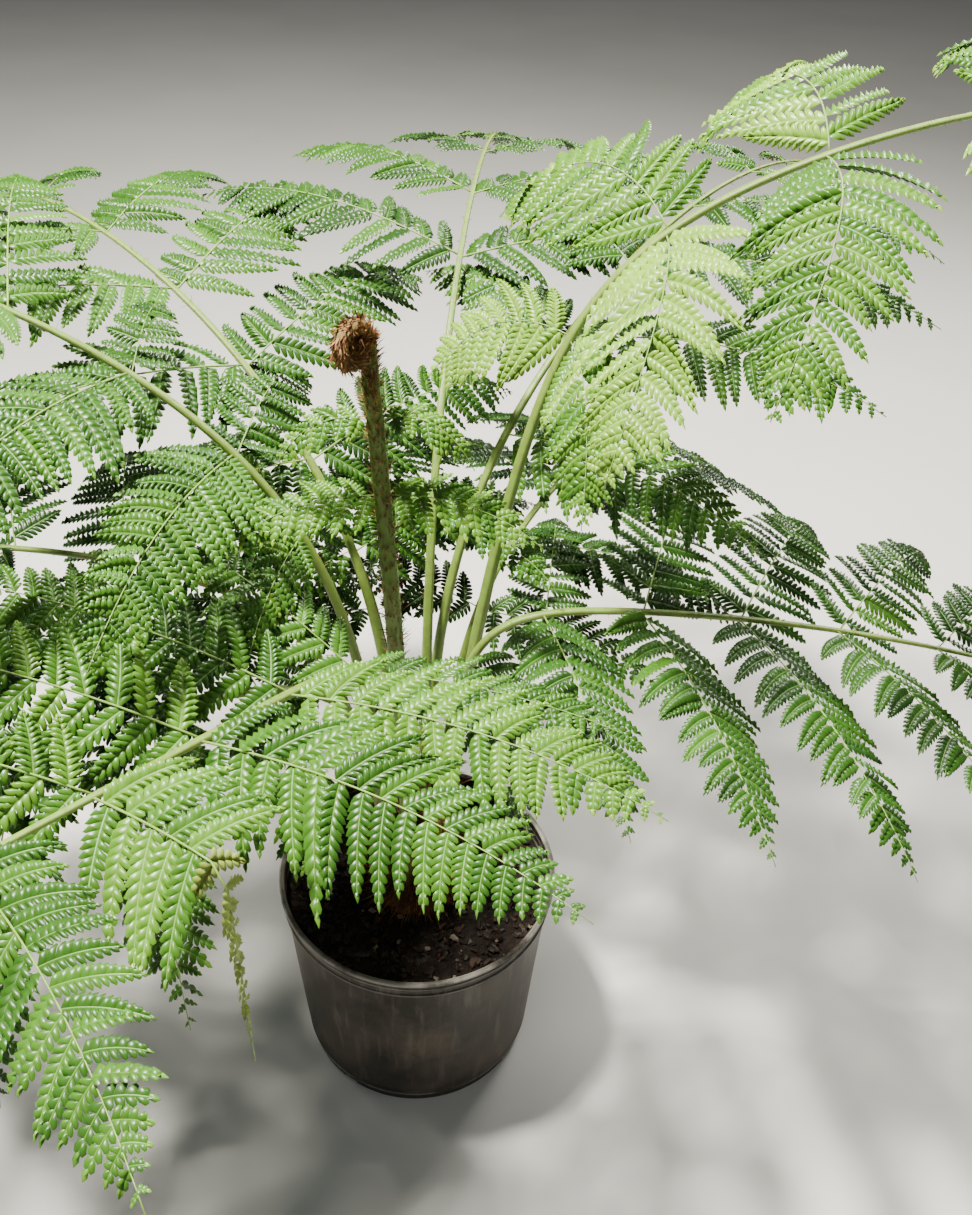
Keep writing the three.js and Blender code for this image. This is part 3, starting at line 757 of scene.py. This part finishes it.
def leafletTemplate(lobes):
    # vertices (share of length, share of half-width, relief in half-widths), triangles and their kinds
    points, faces, kinds = [], [], []

    def add(x, y, z):
        points.append((x, y, z))
        return len(points) - 1

    tip = add(1.0, 0.0, -leaflet["curl"])
    rib = {}
    for side in (1, -1):
        rib[side] = [add(k / lobes, side * leaflet["rib"], leaflet["groove"]) for k in range(lobes)] + [tip]
    for k in range(lobes):
        a, b, c, d = rib[1][k], rib[-1][k], rib[-1][k + 1], rib[1][k + 1]
        faces.append((a, b, c))
        kinds.append(1)
        if c != d:
            faces.append((a, c, d))
            kinds.append(1)
    pitch = 1 / lobes
    least, most = leaflet["fine"]
    edge = lobeEdge["fine" if least <= lobes <= most else "plain"]
    cutFall = leaflet["cutAtTip"] - leaflet["cutAtFoot"]
    for side in (1, -1):
        notches = []
        for k in range(lobes):
            x = k * pitch
            left = leaflet["cutAtFoot"] + cutFall * x ** leaflet["cutPower"]
            half = leafletHalf(x)
            forward = leaflet["shift"] * left * half * (k > 0)
            notches.append(add(x + forward, side * left * half, leaflet["notchRise"]))
        notches.append(tip)
        for k in range(lobes):
            x = k * pitch
            half = leafletHalf(x + 0.5 * pitch)
            last = k == lobes - 1
            reach = leaflet["shift"] * half * (not last)
            wave = 1 + leaflet["uneven"] * math.sin(2.1 * k + side)
            rise = leaflet["dome"] * (leaflet["lastDome"] if last else wave)
            centre = add(x + 0.5 * (pitch + reach), side * leaflet["topOut"] * half, rise)
            # a lobe has corners of its own, so that it shades as a dome and the cuts stay crisp
            ring = [add(*points[rib[side][k]]), add(*points[notches[k]])]
            for forward, out, low in edge[:2] if last else edge:
                place = x + forward * pitch + out * reach
                ring.append(add(place, side * out * half, -low * leaflet["curl"]))
            ring += [] if last else [add(*points[notches[k + 1]])]
            ring.append(add(*points[rib[side][k + 1]]))
            for a, b in zip(ring, ring[1:] + ring[:1]):
                faces.append((centre, b, a) if side > 0 else (centre, a, b))
                kinds.append(2 if last else 0)
    return np.array(points), np.array(faces), np.array(kinds)


templates = {lobes: leafletTemplate(lobes) for least, lobes in leaflet["lobes"]}


def leafletsOf(pinna, tone, random):
    # where each leaflet of one pinna starts, its axes, size and colour
    points, headings, normal, length, louvre, wiltedFrom, halfWidth = pinna
    small = np.clip((length / leaflet["fullLength"]) ** leaflet["smallPower"], leaflet["smallest"], 1)
    rows = []
    for side in (1, -1):
        place = leaf["bare"] * (1 if side > 0 else leaf["bareRight"])
        while place < length * leaf["leafyTo"]:
            t = place / length
            spacing = leaflet["spacing"] * small * (1 - leaflet["closing"] * t)
            rows.append((t, side, spacing))
            place += spacing
    t, side, spacing = (np.array(column) for column in zip(*rows))
    count = len(t)
    along = unit(pointAt(headings, t))
    left = turnAbout(unit(np.cross(normal, along)), along, np.full(count, louvre))
    face = np.cross(along, left)
    slim = 1 - leaflet["slim"] * smoothRamp(leaflet["slimFrom"], leaflet["slimTo"], t)
    dry = t > wiltedFrom
    reach = halfWidth * length * pinnaWidth(t) * slim * np.where(dry, leaf["wiltWidth"], 1)
    sweep = leaf["sweep"] + leaflet["strayAngle"] * random.standard_normal(count)
    heading = unit(left * side[:, None] + along * sweep[:, None])
    size = reach * np.sqrt(1 + sweep**2) * (1 + leaflet["straySize"] * random.standard_normal(count))
    twist = leaflet["strayTwist"] * random.standard_normal(count)
    normals = turnAbout(unit(face - heading * np.sum(face * heading, -1, keepdims=True)), heading, twist)
    width = np.minimum(leaflet["width"] * spacing * (1 + leaflet["widening"] * t), leaflet["widest"] * size)
    shade = tone + leaflet["strayTone"] * random.standard_normal(count)
    droop = leaflet["droop"] * (0.6 + 0.8 * random.random(count))
    return {
        "base": pointAt(points, t), "heading": heading, "normal": normals, "along": along,
        "size": size, "width": width, "tone": shade, "droop": droop, "dry": dry,
    }


def placeLeaflets(rows):
    # joined leaflets of one frond, as (vertices, triangles, kinds) for each template
    merged = {key: np.concatenate([row[key] for row in rows]) for key in rows[0]}
    parts = []
    upper = np.inf
    for least, lobes in leaflet["lobes"]:
        chosen = (merged["size"] >= least) & (merged["size"] < upper)
        upper = least
        if not chosen.any():
            continue
        points, faces, kinds = templates[lobes]
        row = {key: value[chosen] for key, value in merged.items()}
        across = np.cross(row["normal"], row["heading"])
        x, y, z = points.T
        size, width = row["size"][:, None, None], row["width"][:, None, None]
        bend = (x**2)[None, :, None] * size
        vertices = (
            row["base"][:, None]
            + row["heading"][:, None] * x[None, :, None] * size
            + across[:, None] * y[None, :, None] * width
            + row["normal"][:, None] * z[None, :, None] * width
            - up * row["droop"][:, None, None] * bend
            + row["along"][:, None] * leaflet["curve"] * bend
        )
        count = len(row["size"])
        shades = np.clip(np.round(row["tone"]), 0, len(leafColours) - 1).astype(int)
        lighter = np.minimum(shades + 1, len(leafColours) - 1)
        dealt = np.stack([shades, np.full(count, veinKind), lighter], 1)
        dealt[row["dry"]] = dryKind
        triangles = faces[None] + np.arange(count)[:, None, None] * len(points)
        parts.append((vertices.reshape(-1, 3), triangles.reshape(-1, 3), dealt[:, kinds].ravel()))
    return parts


def tubeAlong(points, radii, sides, kind=0):
    # a closed tapering tube along points, with its frame carried from step to step
    along = unit(np.gradient(points, axis=0))
    side = unit(np.cross(along[0], up if abs(along[0][2]) < 0.9 else np.array([1.0, 0, 0])))
    angles = np.arange(sides) * 2 * math.pi / sides
    rings = []
    for point, direction, radius in zip(points, along, radii):
        side = unit(side - direction * np.dot(side, direction))
        other = np.cross(direction, side)
        rings.append(point + radius * (np.outer(np.cos(angles), side) + np.outer(np.sin(angles), other)))
    vertices = np.concatenate(rings + [points[:1], points[-1:]])
    ring = np.arange(sides)
    after = (ring + 1) % sides
    faces = []
    for i in range(len(points) - 1):
        low, high = i * sides, (i + 1) * sides
        faces.append(np.stack([low + ring, low + after, high + after], 1))
        faces.append(np.stack([low + ring, high + after, high + ring], 1))
    top = (len(points) - 1) * sides
    faces.append(np.stack([after, ring, np.full(sides, len(vertices) - 2)], 1))
    faces.append(np.stack([top + ring, top + after, np.full(sides, len(vertices) - 1)], 1))
    faces = np.concatenate(faces)
    return vertices, faces, np.full(len(faces), kind)


def stripsOn(roots, headings, outwards, lengths, widths, curls, kinds):
    # thin pointed scales and hairs: each a strip of three triangles that curls away from its root
    across = unit(np.cross(headings, outwards))
    lengths, widths, curls = lengths[:, None], widths[:, None], curls[:, None]
    middle = roots + headings * lengths * 0.55 + outwards * lengths * curls * 0.3
    tips = roots + headings * lengths + outwards * lengths * curls
    aside = across * widths
    vertices = np.stack([roots - aside, roots + aside, middle - aside, middle + aside, tips], 1)
    pattern = np.array([(0, 1, 3), (0, 3, 2), (2, 3, 4)])
    faces = pattern[None] + np.arange(len(roots))[:, None, None] * 5
    return vertices.reshape(-1, 3), faces.reshape(-1, 3), np.repeat(kinds, 3)


# Fronds

stalk = {"sides": 14, "cuts": 110, "groove": 0.26, "flare": 0.35, "flareLength": 0.03, "uneven": 0.05}
ribs = {"thick": 0.0032, "least": 0.0004, "taper": 0.72, "sides": 6, "rise": 0.2}
strayTone = 0.4  # of a whole pinna, in steps of the leaf colours
scales = {
    "perMetre": 2600, "dense": 0.16, "length": 0.011, "width": 0.0006, "lean": 0.45,
    "hairs": 420, "hairLength": 0.0045, "hairWidth": 0.00018, "hairLean": 1.5, "gold": 0.6,
}


def growLimb(name, frond, line, to, radii, materials):
    # one grooved stalk from the trunk to the frond's tip
    bm = bmesh.new()
    bmesh.ops.create_cone(
        bm, cap_ends=True, segments=stalk["sides"], radius1=1, radius2=1, depth=1,
        matrix=Matrix.Translation((0, 0, 0.5)),
    )
    upright = [edge for edge in bm.edges if abs(edge.verts[0].co.z - edge.verts[1].co.z) > 0.5]
    bmesh.ops.subdivide_edges(bm, edges=upright, cuts=stalk["cuts"], use_grid_fill=False)
    for vertex in bm.verts:
        x, y, t = vertex.co
        share = t * to / frond["length"]
        _, across, normal = frameAt(frond, share)
        radius = np.interp(t * to, *radii)
        radius *= 1 + stalk["flare"] * math.exp(-t * to / stalk["flareLength"])
        groove = 1 - stalk["groove"] * max(0, y) ** 6
        radius *= 1 + stalk["uneven"] * noise.noise(Vector((x, y, t * 60)))
        point = pointAt(line, share)
        vertex.co = point + (across * x + normal * y * groove) * radius
    bmesh.ops.recalc_face_normals(bm, faces=bm.faces)
    return pieceFromBmesh(name, bm, materials)


def scalesAlong(frond, line, to, radii, random, dense, hairs):
    # brown scales crowded at the foot of a stalk, and fine golden hairs further up
    count = int(scales["perMetre"] * dense)
    places = np.concatenate([dense * random.random(count) ** 1.5, to * random.random(hairs)])
    isHair = np.arange(len(places)) >= count
    share = places / frond["length"]
    along, across, normal = frameAt(frond, share)
    angle = 2 * math.pi * random.random(len(places))
    outwards = across * np.cos(angle)[:, None] + normal * np.sin(angle)[:, None]
    radius = np.interp(places, *radii)
    roots = pointAt(line, share) + outwards * (0.92 * radius)[:, None]
    lean = np.where(isHair, scales["hairLean"], scales["lean"])[:, None]
    headings = unit(along + outwards * lean + 0.35 * random.standard_normal((len(places), 3)))
    lengths = np.where(isHair, scales["hairLength"], scales["length"])
    lengths = lengths * (0.6 + 0.8 * random.random(len(places)))
    widths = np.where(isHair, scales["hairWidth"], scales["width"])
    curls = 0.5 * random.standard_normal(len(places))
    kinds = np.where(random.random(len(places)) < scales["gold"], 0, 1)
    return stripsOn(roots, headings, outwards, lengths, widths, curls, kinds)


def ribTube(pinna):
    points, _, normal, length = pinna[:4]
    t = np.linspace(0, 1, len(points))
    radii = np.maximum(ribs["least"], ribs["thick"] * length * (1 - ribs["taper"] * t))
    return tubeAlong(points + normal * ribs["rise"] * radii[:, None], radii, ribs["sides"])


def growFronds():
    total = 0
    for index, (name, frond) in enumerate(fronds.items()):
        random = np.random.default_rng(leaf["firstSeed"] + index)
        line, pinnae = growPinnae(name, frond, leaf["firstSeed"] + index)
        split = frond["first"] - stem["splitBefore"]
        end = frond["length"] - stem["endBefore"]
        radii = ([0, split, end], [stem["foot"], stem["split"], stem["tip"]])
        limb = growLimb("stalk_and_rachis_" + name, frond, line, end, radii, [stalkSkin])
        settle(limb, "stalk", "stalk_" + name)
        strips = scalesAlong(frond, line, end, radii, random, scales["dense"], scales["hairs"])
        coat = pieceFromArrays("stalk_scales_" + name, [strips], [scaleGold, scaleDark])
        settle(coat, "stalk", "stalk_" + name)
        ribPiece = pieceFromArrays("ribs_" + name, [ribTube(pinna) for pinna in pinnae], [ribGreen])
        settle(ribPiece, "stalk", "frond_" + name)
        rows = []
        for pinna in pinnae:
            tone = frond["tone"] + strayTone * random.standard_normal()
            rows.append(leafletsOf(pinna, tone, random))
        blade = pieceFromArrays("leaflets_" + name, placeLeaflets(rows), leafMaterials)
        settle(blade, "leaf", "frond_" + name)
        total += len(blade.data.polygons)
        print("frond", name, len(pinnae), "pinnae,", len(blade.data.polygons), "leaf triangles")
    print("leaf triangles in all", total)


# Young frond: an upright hairy stalk, a scaly coil and two pairs of small pinnae

young = {
    # its line, by the frond rule
    "footAt": 225, "footOut": 0.009, "footUp": 0.02, "length": 0.68, "azimuth": 170, "turn": 0,
    "sweep": 0, "roll": -80, "lean": 87.5, "bend": 2, "bendAt": 0.5, "bendWidth": 0.2, "droop": 0,
    "foot": 0.0095, "top": 0.0076,
    "coilRadius": 0.018, "coilInner": 0.0065, "coilTurns": 1.6, "coilTube": 0.0082, "coilEnd": 0.0034,
    "coilTurn": -125,  # degrees about the stalk, so that it curls forward and to the left
    "coilSteps": 90, "coilSides": 14, "coilUneven": 0.06,
    # buds on the coil's faces: how many, their steps and sides, turns, and shares of the coil's thickness
    "buds": 11, "budSteps": 12, "budSides": 6, "budTurns": 1.1, "budOut": 0.75, "budGrip": 0.62,
    "budGripFall": 0.4, "budTube": 0.3, "budTubeFall": 0.14,
    # small pinnae: (distance along the stalk, length, lift in degrees, sag)
    "pairs": ((0.604, 0.112, 22, 1.1), (0.528, 0.165, 8, 0.5)),
    # tone: the young frond's step in the leaf colours, which hold painted light and shade
    "pinnaForward": 0.25, "pinnaTilt": 0.5, "tone": 3.8,
    "scales": 2600, "scaleLength": 0.0075, "scaleWidth": 0.0007, "gold": 0.45, "seed": 131,
}


def growYoungFrond():
    random = np.random.default_rng(young["seed"])
    line = centreLine(young)
    radii = ([0, young["length"]], [young["foot"], young["top"]])
    limb = growLimb("young_stalk", young, line, young["length"], radii, [youngSkin])
    settle(limb, "young_leaf", "young_frond")
    along, across, _ = frameAt(young, 1.0)
    outwards = turnAbout(across, along, math.radians(young["coilTurn"]))
    nose = np.cross(outwards, along)
    middle = line[-1] - outwards * young["coilRadius"]
    t = np.linspace(0, 1, young["coilSteps"])
    angle = t * young["coilTurns"] * 2 * math.pi
    spiral = (young["coilRadius"] + (young["coilInner"] - young["coilRadius"]) * t)[:, None]
    sine, cosine = np.sin(angle)[:, None], np.cos(angle)[:, None]
    points = middle + outwards * (spiral * cosine) + along * (spiral * sine)
    size = young["coilTube"] + (young["coilEnd"] - young["coilTube"]) * t
    tube = tubeAlong(points, size * (1 + young["coilUneven"] * np.sin(angle * 9)), young["coilSides"])
    parts = [tube] + coilBuds(points, size, middle, nose)
    coil = pieceFromArrays("young_coil", parts, [coilSkin])
    settle(coil, "young_leaf", "young_frond")
    settle(coatYoung(random, line, radii, points, size, nose), "young_leaf", "young_frond")
    growYoungPinnae(random, line, along, across)
    print("young frond ready")


def coilBuds(points, size, middle, nose):
    # rolled pinna buds in a row on each face of the coil
    buds = []
    steps = np.linspace(0, 1, young["budSteps"])
    swirl = steps * young["budTurns"] * 2 * math.pi
    sine, cosine = np.sin(swirl)[:, None], np.cos(swirl)[:, None]
    for k in range(young["buds"]):
        share = 0.06 + 0.9 * k / young["buds"]
        bulk = np.interp(share, np.linspace(0, 1, len(size)), size)
        grip = (bulk * (young["budGrip"] - young["budGripFall"] * steps))[:, None]
        radii = bulk * (young["budTube"] - young["budTubeFall"] * steps)
        at = pointAt(points, share)
        inward = unit(middle - at)
        forward = np.cross(nose, inward)
        for side in (1, -1):
            bud = at + nose * side * bulk * young["budOut"]
            roll = bud + forward * (grip * cosine) + inward * (grip * sine)
            buds.append(tubeAlong(roll, radii, young["budSides"]))
    return buds


def coatYoung(random, line, radii, points, size, nose):
    # scales over the coil and the neck below it, thinning out down the stalk
    count = young["scales"]
    share = random.random(count)
    centre = pointAt(points, share)
    direction = unit(pointAt(points, np.minimum(share + 0.01, 1)) - pointAt(points, share - 0.01))
    angle = 2 * math.pi * random.random(count)
    other = np.cross(direction, nose)
    outwards = np.cos(angle)[:, None] * nose + np.sin(angle)[:, None] * other
    bulk = np.interp(share, np.linspace(0, 1, len(size)), size)
    roots = centre + outwards * (0.95 * bulk)[:, None]
    headings = unit(direction + 0.35 * outwards + 0.3 * random.standard_normal((count, 3)))
    lengths = young["scaleLength"] * (0.5 + random.random(count))
    kinds = np.where(random.random(count) < young["gold"], 0, 1)
    widths = np.full(count, young["scaleWidth"])
    curls = 0.3 * random.standard_normal(count)
    onCoil = stripsOn(roots, headings, outwards, lengths, widths, curls, kinds)
    places = young["length"] * (1 - random.random(count) ** 2.2)
    share = places / young["length"]
    along, across, face = frameAt(young, share)
    outwards = across * np.cos(angle)[:, None] + face * np.sin(angle)[:, None]
    roots = pointAt(line, share) + outwards * (0.95 * np.interp(places, *radii))[:, None]
    headings = unit(along + 0.6 * outwards + 0.35 * random.standard_normal((count, 3)))
    curls = 0.4 * random.standard_normal(count)
    onStalk = stripsOn(roots, headings, outwards, lengths, widths * 0.8, curls, kinds)
    return pieceFromArrays("young_scales", [onCoil, onStalk], [scaleGold, scaleDark])


def growYoungPinnae(random, line, along, across):
    front = np.array([0.0, -1.0, 0.0])
    face = unit(up + front * young["pinnaTilt"])
    rows, tubes = [], []
    for at, length, lift, sag in young["pairs"]:
        start = pointAt(line, at / young["length"])
        for side in (1, -1):
            heading = across * side + up * math.tan(math.radians(lift)) + front * young["pinnaForward"]
            points, headings = ribLine(start, unit(heading), along, length, sag, 0)
            pinna = (points, headings, face, length, 0.0, 1, leaf["halfWidth"])
            rows.append(leafletsOf(pinna, young["tone"], random))
            tubes.append(ribTube(pinna))
    blade = pieceFromArrays("young_leaflets", placeLeaflets(rows), leafMaterials)
    settle(blade, "young_leaf", "young_frond")
    settle(pieceFromArrays("young_ribs", tubes, [ribGreen]), "young_leaf", "young_frond")


youngSkin = stalkMaterial("youngSkin", 0.3, 0.48, (0.1, 0.055, 0.02, 1), (0.12, 0.19, 0.03, 1))
coilSkin = roughMaterial("coilSkin", (0.2, 0.12, 0.045, 1), (0.14, 0.16, 0.05, 1), 130, 0.0006)


# Trunk: matted fibres and the cut bases of old stalks

trunk = {
    # shares of the height and of the foot's radius
    "outline": ([0, 0.12, 0.35, 0.6, 0.85, 1], [1, 0.92, 0.8, 0.72, 0.54, 0.31]),
    "below": 0.002, "rings": 26, "steps": 72, "relief": 0.0035,
    "ridges": (9, 25), "fineRidges": (30, 60),  # noise scales round the trunk and along it
    "stubs": 13, "stubTurn": 2.4, "stubFrom": 0.006, "stubSpread": 0.03, "stubSunk": 0.006,
    "stubLength": (0.02, 0.05), "stubRadius": 0.0085, "stubSides": 10,
    "fibres": 2400, "fibreLength": 0.02, "fibreWidth": 0.0005, "fibresAbove": 0.0005, "gold": 0.55,
    "seed": 211,
}


def trunkRadius(height):
    low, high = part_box("trunk")
    foot = (high.x - low.x) / 2
    return foot * np.interp((height - low.z) / (high.z - low.z), *trunk["outline"])


def makeTrunk():
    random = np.random.default_rng(trunk["seed"])
    makeTrunkCore()
    makeStubs(random)
    makeFibres(random)
    print("trunk ready")


def makeTrunkCore():
    low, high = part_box("trunk")
    heights = np.linspace(low.z - trunk["below"], high.z, trunk["rings"])
    profile = [(0, heights[0])] + [(trunkRadius(h), h) for h in heights] + [(0, heights[-1])]
    bm = spinProfile(profile, trunk["steps"])
    for vertex in bm.verts:
        outwards = Vector((vertex.co.x, vertex.co.y, 0))
        if outwards.length > 1e-4:
            ridges = ridgeNoise(vertex.co, *trunk["ridges"])
            fine = ridgeNoise(vertex.co, *trunk["fineRidges"])
            vertex.co += outwards.normalized() * trunk["relief"] * (ridges + 0.5 * fine)
    bmesh.ops.recalc_face_normals(bm, faces=bm.faces)
    settle(pieceFromBmesh("trunk_core", bm, [fibreBrown]), "trunk", "trunk")


def ridgeNoise(place, around, along):
    angle = math.atan2(place.y, place.x)
    return noise.noise(Vector((math.cos(angle) * around, math.sin(angle) * around, place.z * along)))


def makeStubs(random):
    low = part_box("trunk")[0]
    shortest, longest = trunk["stubLength"]
    parts = []
    for k in range(trunk["stubs"]):
        angle = trunk["stubTurn"] * k + 0.3 * random.random()
        height = low.z + trunk["stubFrom"] + trunk["stubSpread"] * random.random()
        reach = shortest + (longest - shortest) * random.random()
        outwards = np.array([math.cos(angle), math.sin(angle), 0])
        root = outwards * (trunkRadius(height) - trunk["stubSunk"]) + up * height
        lean = unit(outwards * (0.5 + 0.3 * random.random()) + up)
        steps = np.linspace(0, 1, 7)
        path = root + lean * (reach * steps)[:, None] - outwards * (0.006 * steps**2)[:, None]
        parts.append(tubeAlong(path, trunk["stubRadius"] * (1.1 - 0.35 * steps), trunk["stubSides"]))
    settle(pieceFromArrays("trunk_stubs", parts, [fibreBrown]), "trunk", "trunk")


def makeFibres(random):
    low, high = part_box("trunk")
    count = trunk["fibres"]
    angle = 2 * math.pi * random.random(count)
    height = low.z + (high.z - low.z) * random.random(count) ** 1.2
    outwards = np.stack([np.cos(angle), np.sin(angle), np.zeros(count)], -1)
    roots = outwards * trunkRadius(height)[:, None] + np.outer(height, up)
    headings = unit(0.5 * outwards - 0.3 * up + 0.8 * random.standard_normal((count, 3)))
    lengths = trunk["fibreLength"] * (0.4 + random.random(count))
    kinds = np.where(random.random(count) < trunk["gold"], 0, 1)
    widths = np.full(count, trunk["fibreWidth"])
    curls = 0.5 * random.standard_normal(count)
    strips = stripsOn(roots, headings, outwards, lengths, widths, curls, kinds)
    heights = strips[0][:, 2]
    heights[:] = np.maximum(heights, low.z + trunk["fibresAbove"])
    settle(pieceFromArrays("trunk_fibres", [strips], [scaleGold, scaleDark]), "trunk", "trunk")


# Potting mix: a lumpy domed surface with bark bits, crumbs and a few pale flecks

mix = {
    "steps": 120, "ring": 0.005, "lumps": 0.0035, "lumpScale": 55, "sink": 0.001, "fall": 0.003,
    "clear": 0.0005,  # between the mix and the pot's wall
    "clearAbove": 0.002,  # the trunk's radius this far above the mix is kept free of bits
    # how far its side steps in from the edge: below the band, near the foot and at the foot
    "bandIn": 0.0015, "wallIn": 0.016, "footIn": 0.019, "bandFoot": 0.0055, "footHeight": 0.008,
    "chips": 1900, "chipSize": (0.002, 0.009), "chipPower": 2.2, "chipRise": 0.15, "chipsWithin": 0.006,
    # least share of a bit's length, and how much more at most
    "chipWidth": (0.45, 0.4), "chipThick": (0.18, 0.3),
    "kinds": (0.2, 0.97),  # share of red bits, and of red and dark ones together
    "seed": 307,
}


def makeSoil():
    random = np.random.default_rng(mix["seed"])
    low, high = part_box("soil")
    edge = high.x - mix["clear"]
    rings = np.arange(0, edge, mix["ring"])
    profile = [(radius, high.z - mix["fall"] * (radius / edge) ** 2) for radius in rings]
    profile += [(edge, high.z - mix["fall"]), (edge - mix["bandIn"], high.z - mix["bandFoot"])]
    profile += [(edge - mix["wallIn"], low.z + mix["footHeight"]), (edge - mix["footIn"], low.z), (0, low.z)]
    bm = spinProfile(profile, mix["steps"])
    for vertex in bm.verts:
        if vertex.co.z > high.z - 2 * mix["fall"]:
            lump = noise.fractal(vertex.co * mix["lumpScale"], 1.0, 2.0, 4)
            vertex.co.z += mix["lumps"] * lump - mix["sink"]
    settle(pieceFromBmesh("potting_mix", bm, [soilDark]), "soil", "soil")
    count = mix["chips"]
    radius = (edge - mix["chipsWithin"]) * np.sqrt(random.random(count))
    angle = 2 * math.pi * random.random(count)
    least, most = mix["chipSize"]
    size = least + (most - least) * random.random(count) ** mix["chipPower"]
    ground = high.z - mix["fall"] * (radius / edge) ** 2
    places = np.stack([radius * np.cos(angle), radius * np.sin(angle), ground + mix["chipRise"] * size], -1)
    clear = radius > trunkRadius(high.z + mix["clearAbove"])
    settle(chipPiece("bark_bits", places[clear], size[clear], random), "soil", "soil")
    print("potting mix ready")


def chipPiece(name, places, size, random):
    # irregular six-sided bits, flatter than they are long
    corners = np.array([(x, y, z) for x in (-1, 1) for y in (-1, 1) for z in (-1, 1)], float)
    quads = [(0, 1, 3, 2), (4, 6, 7, 5), (0, 4, 5, 1), (2, 3, 7, 6), (0, 2, 6, 4), (1, 5, 7, 3)]
    pattern = np.array([t for a, b, c, d in quads for t in ((a, b, c), (a, c, d))])
    count = len(places)
    shape = corners[None] * (1 + 0.35 * random.standard_normal((count, 8, 3)))
    spans = [least + more * random.random(count) for least, more in (mix["chipWidth"], mix["chipThick"])]
    shape *= np.stack([np.ones(count)] + spans, -1)[:, None]
    heading = unit(random.standard_normal((count, 3)) * np.array([1, 1, 0.25]))
    normal = unit(up + 0.45 * random.standard_normal((count, 3)))
    across = unit(np.cross(normal, heading))
    axes = np.stack([heading, across, np.cross(heading, across)], 1)
    vertices = places[:, None] + (size / 2)[:, None, None] * (shape @ axes)
    faces = pattern[None] + np.arange(count)[:, None, None] * 8
    draw = random.random(count)
    red, dark = mix["kinds"]
    kinds = np.where(draw < red, 0, np.where(draw < dark, 1, 2))
    part = (vertices.reshape(-1, 3), faces.reshape(-1, 3), np.repeat(kinds, 12))
    return pieceFromArrays(name, [part], [barkRed, barkDark, barkPale], smooth=False)


# Pot: thin moulded wall with a rolled lip, a band with two raised lines and a recessed foot

pot = {
    "steps": 288, "wall": 0.0022, "wallRings": 16, "fallIn": 0.0145, "floor": 0.0055, "waver": 0.0011,
    "lipTube": 0.0034, "underLip": 0.0085, "inLip": 0.009,
    "bandIn": 0.0035, "bandHeight": 0.026, "bandStep": 0.0025, "bandTaper": 0.003,
    # raised lines: how far they stand out, half their height, and places of the upper one below the lip
    "line": 0.0009, "lineHeight": 0.0016, "upperLine": 0.0135, "upperShare": 0.75, "betweenLines": 0.0155,
    "footHeight": 0.014, "footIn": 0.003, "footEdge": 0.001, "footFlare": 0.0005,
    "footRing": 0.0012, "ringBelow": 0.0015, "ringMiddle": 0.0008,  # from the top of the foot
    "hollow": 0.003, "hollowIn": 0.012, "rimIn": 0.008,  # of the recessed underside
    "notches": 4, "firstNotch": 237, "notchWidth": 0.015, "notchHeight": 0.005, "notchDepth": 0.004,
    "notchStep": 0.0003,  # half of the narrow step at a notch's top
    "waverScale": (7, 7, 4),
}


def potProfile(low, high):
    # (radius, height) from the middle of the underside up the outside, over the lip and down the inside
    lip = high.x - pot["lipTube"]
    bandFoot = high.z - pot["bandHeight"]
    band = high.x - pot["bandIn"]
    wallTop = band - pot["bandStep"]
    wallFoot = wallTop - pot["fallIn"]
    foot = wallFoot - pot["footIn"]
    line, rise = pot["line"], pot["lineHeight"]
    edge, ring, footTop = pot["footEdge"], pot["footRing"], pot["footHeight"]
    profile = [(0, pot["hollow"]), (foot - pot["hollowIn"], pot["hollow"]), (foot - pot["rimIn"], low.z)]
    profile += [(foot - edge, low.z), (foot, edge), (foot, pot["notchHeight"] - pot["notchStep"])]
    profile += [(foot, pot["notchHeight"] + pot["notchStep"])]
    profile += [(foot + pot["footFlare"], footTop - pot["ringBelow"])]
    profile += arc(wallFoot - ring, footTop + pot["ringMiddle"], ring, -90, 60, 6)
    for share in np.linspace(0.06, 0.98, pot["wallRings"]):
        profile.append((wallFoot + share * (wallTop - wallFoot), footTop + share * (bandFoot - footTop)))
    profile.append((wallTop, bandFoot - 0.0004))
    profile += arc(band - line, bandFoot + rise, rise, -60, 90, 6)
    profile.append((band - line, high.z - pot["betweenLines"]))
    profile += arc(band - line, high.z - pot["upperLine"], rise * pot["upperShare"], -80, 80, 6)
    profile.append((band - line, high.z - pot["underLip"]))
    profile += arc(lip, high.z - pot["lipTube"], pot["lipTube"], -100, 170, 14)
    wall = pot["wall"]
    inside = band - line - wall
    profile += [(inside, high.z - pot["inLip"]), (inside, bandFoot + pot["bandTaper"])]
    profile += [(wallTop - wall, bandFoot), (wallFoot - wall, pot["floor"]), (0, pot["floor"])]
    return profile, foot


def makePot():
    profile, foot = potProfile(*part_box("pot"))
    bm = spinProfile(profile, pot["steps"])
    between = 360 / pot["notches"]
    for vertex in bm.verts:
        place = vertex.co
        outwards = Vector((place.x, place.y, 0))
        if outwards.length > 0.1 and place.z > 0.01:
            bulge = noise.noise(place * Vector(pot["waverScale"]))
            vertex.co = place + outwards.normalized() * pot["waver"] * bulge
        elif outwards.length > foot - 0.0015 and place.z < pot["notchHeight"]:
            turn = math.degrees(math.atan2(place.y, place.x)) - pot["firstNotch"]
            away = abs((turn + between / 2) % between - between / 2)
            if math.radians(away) * foot < pot["notchWidth"] / 2:
                vertex.co = place - outwards.normalized() * pot["notchDepth"]
    settle(pieceFromBmesh("nursery_pot", bm, [plasticMaterial()]), "pot", "pot")
    print("pot ready")


makeCamera()
makeStudio()
makePot()
makeSoil()
makeTrunk()
growFronds()
growYoungFrond()

bpy.context.view_layer.update()
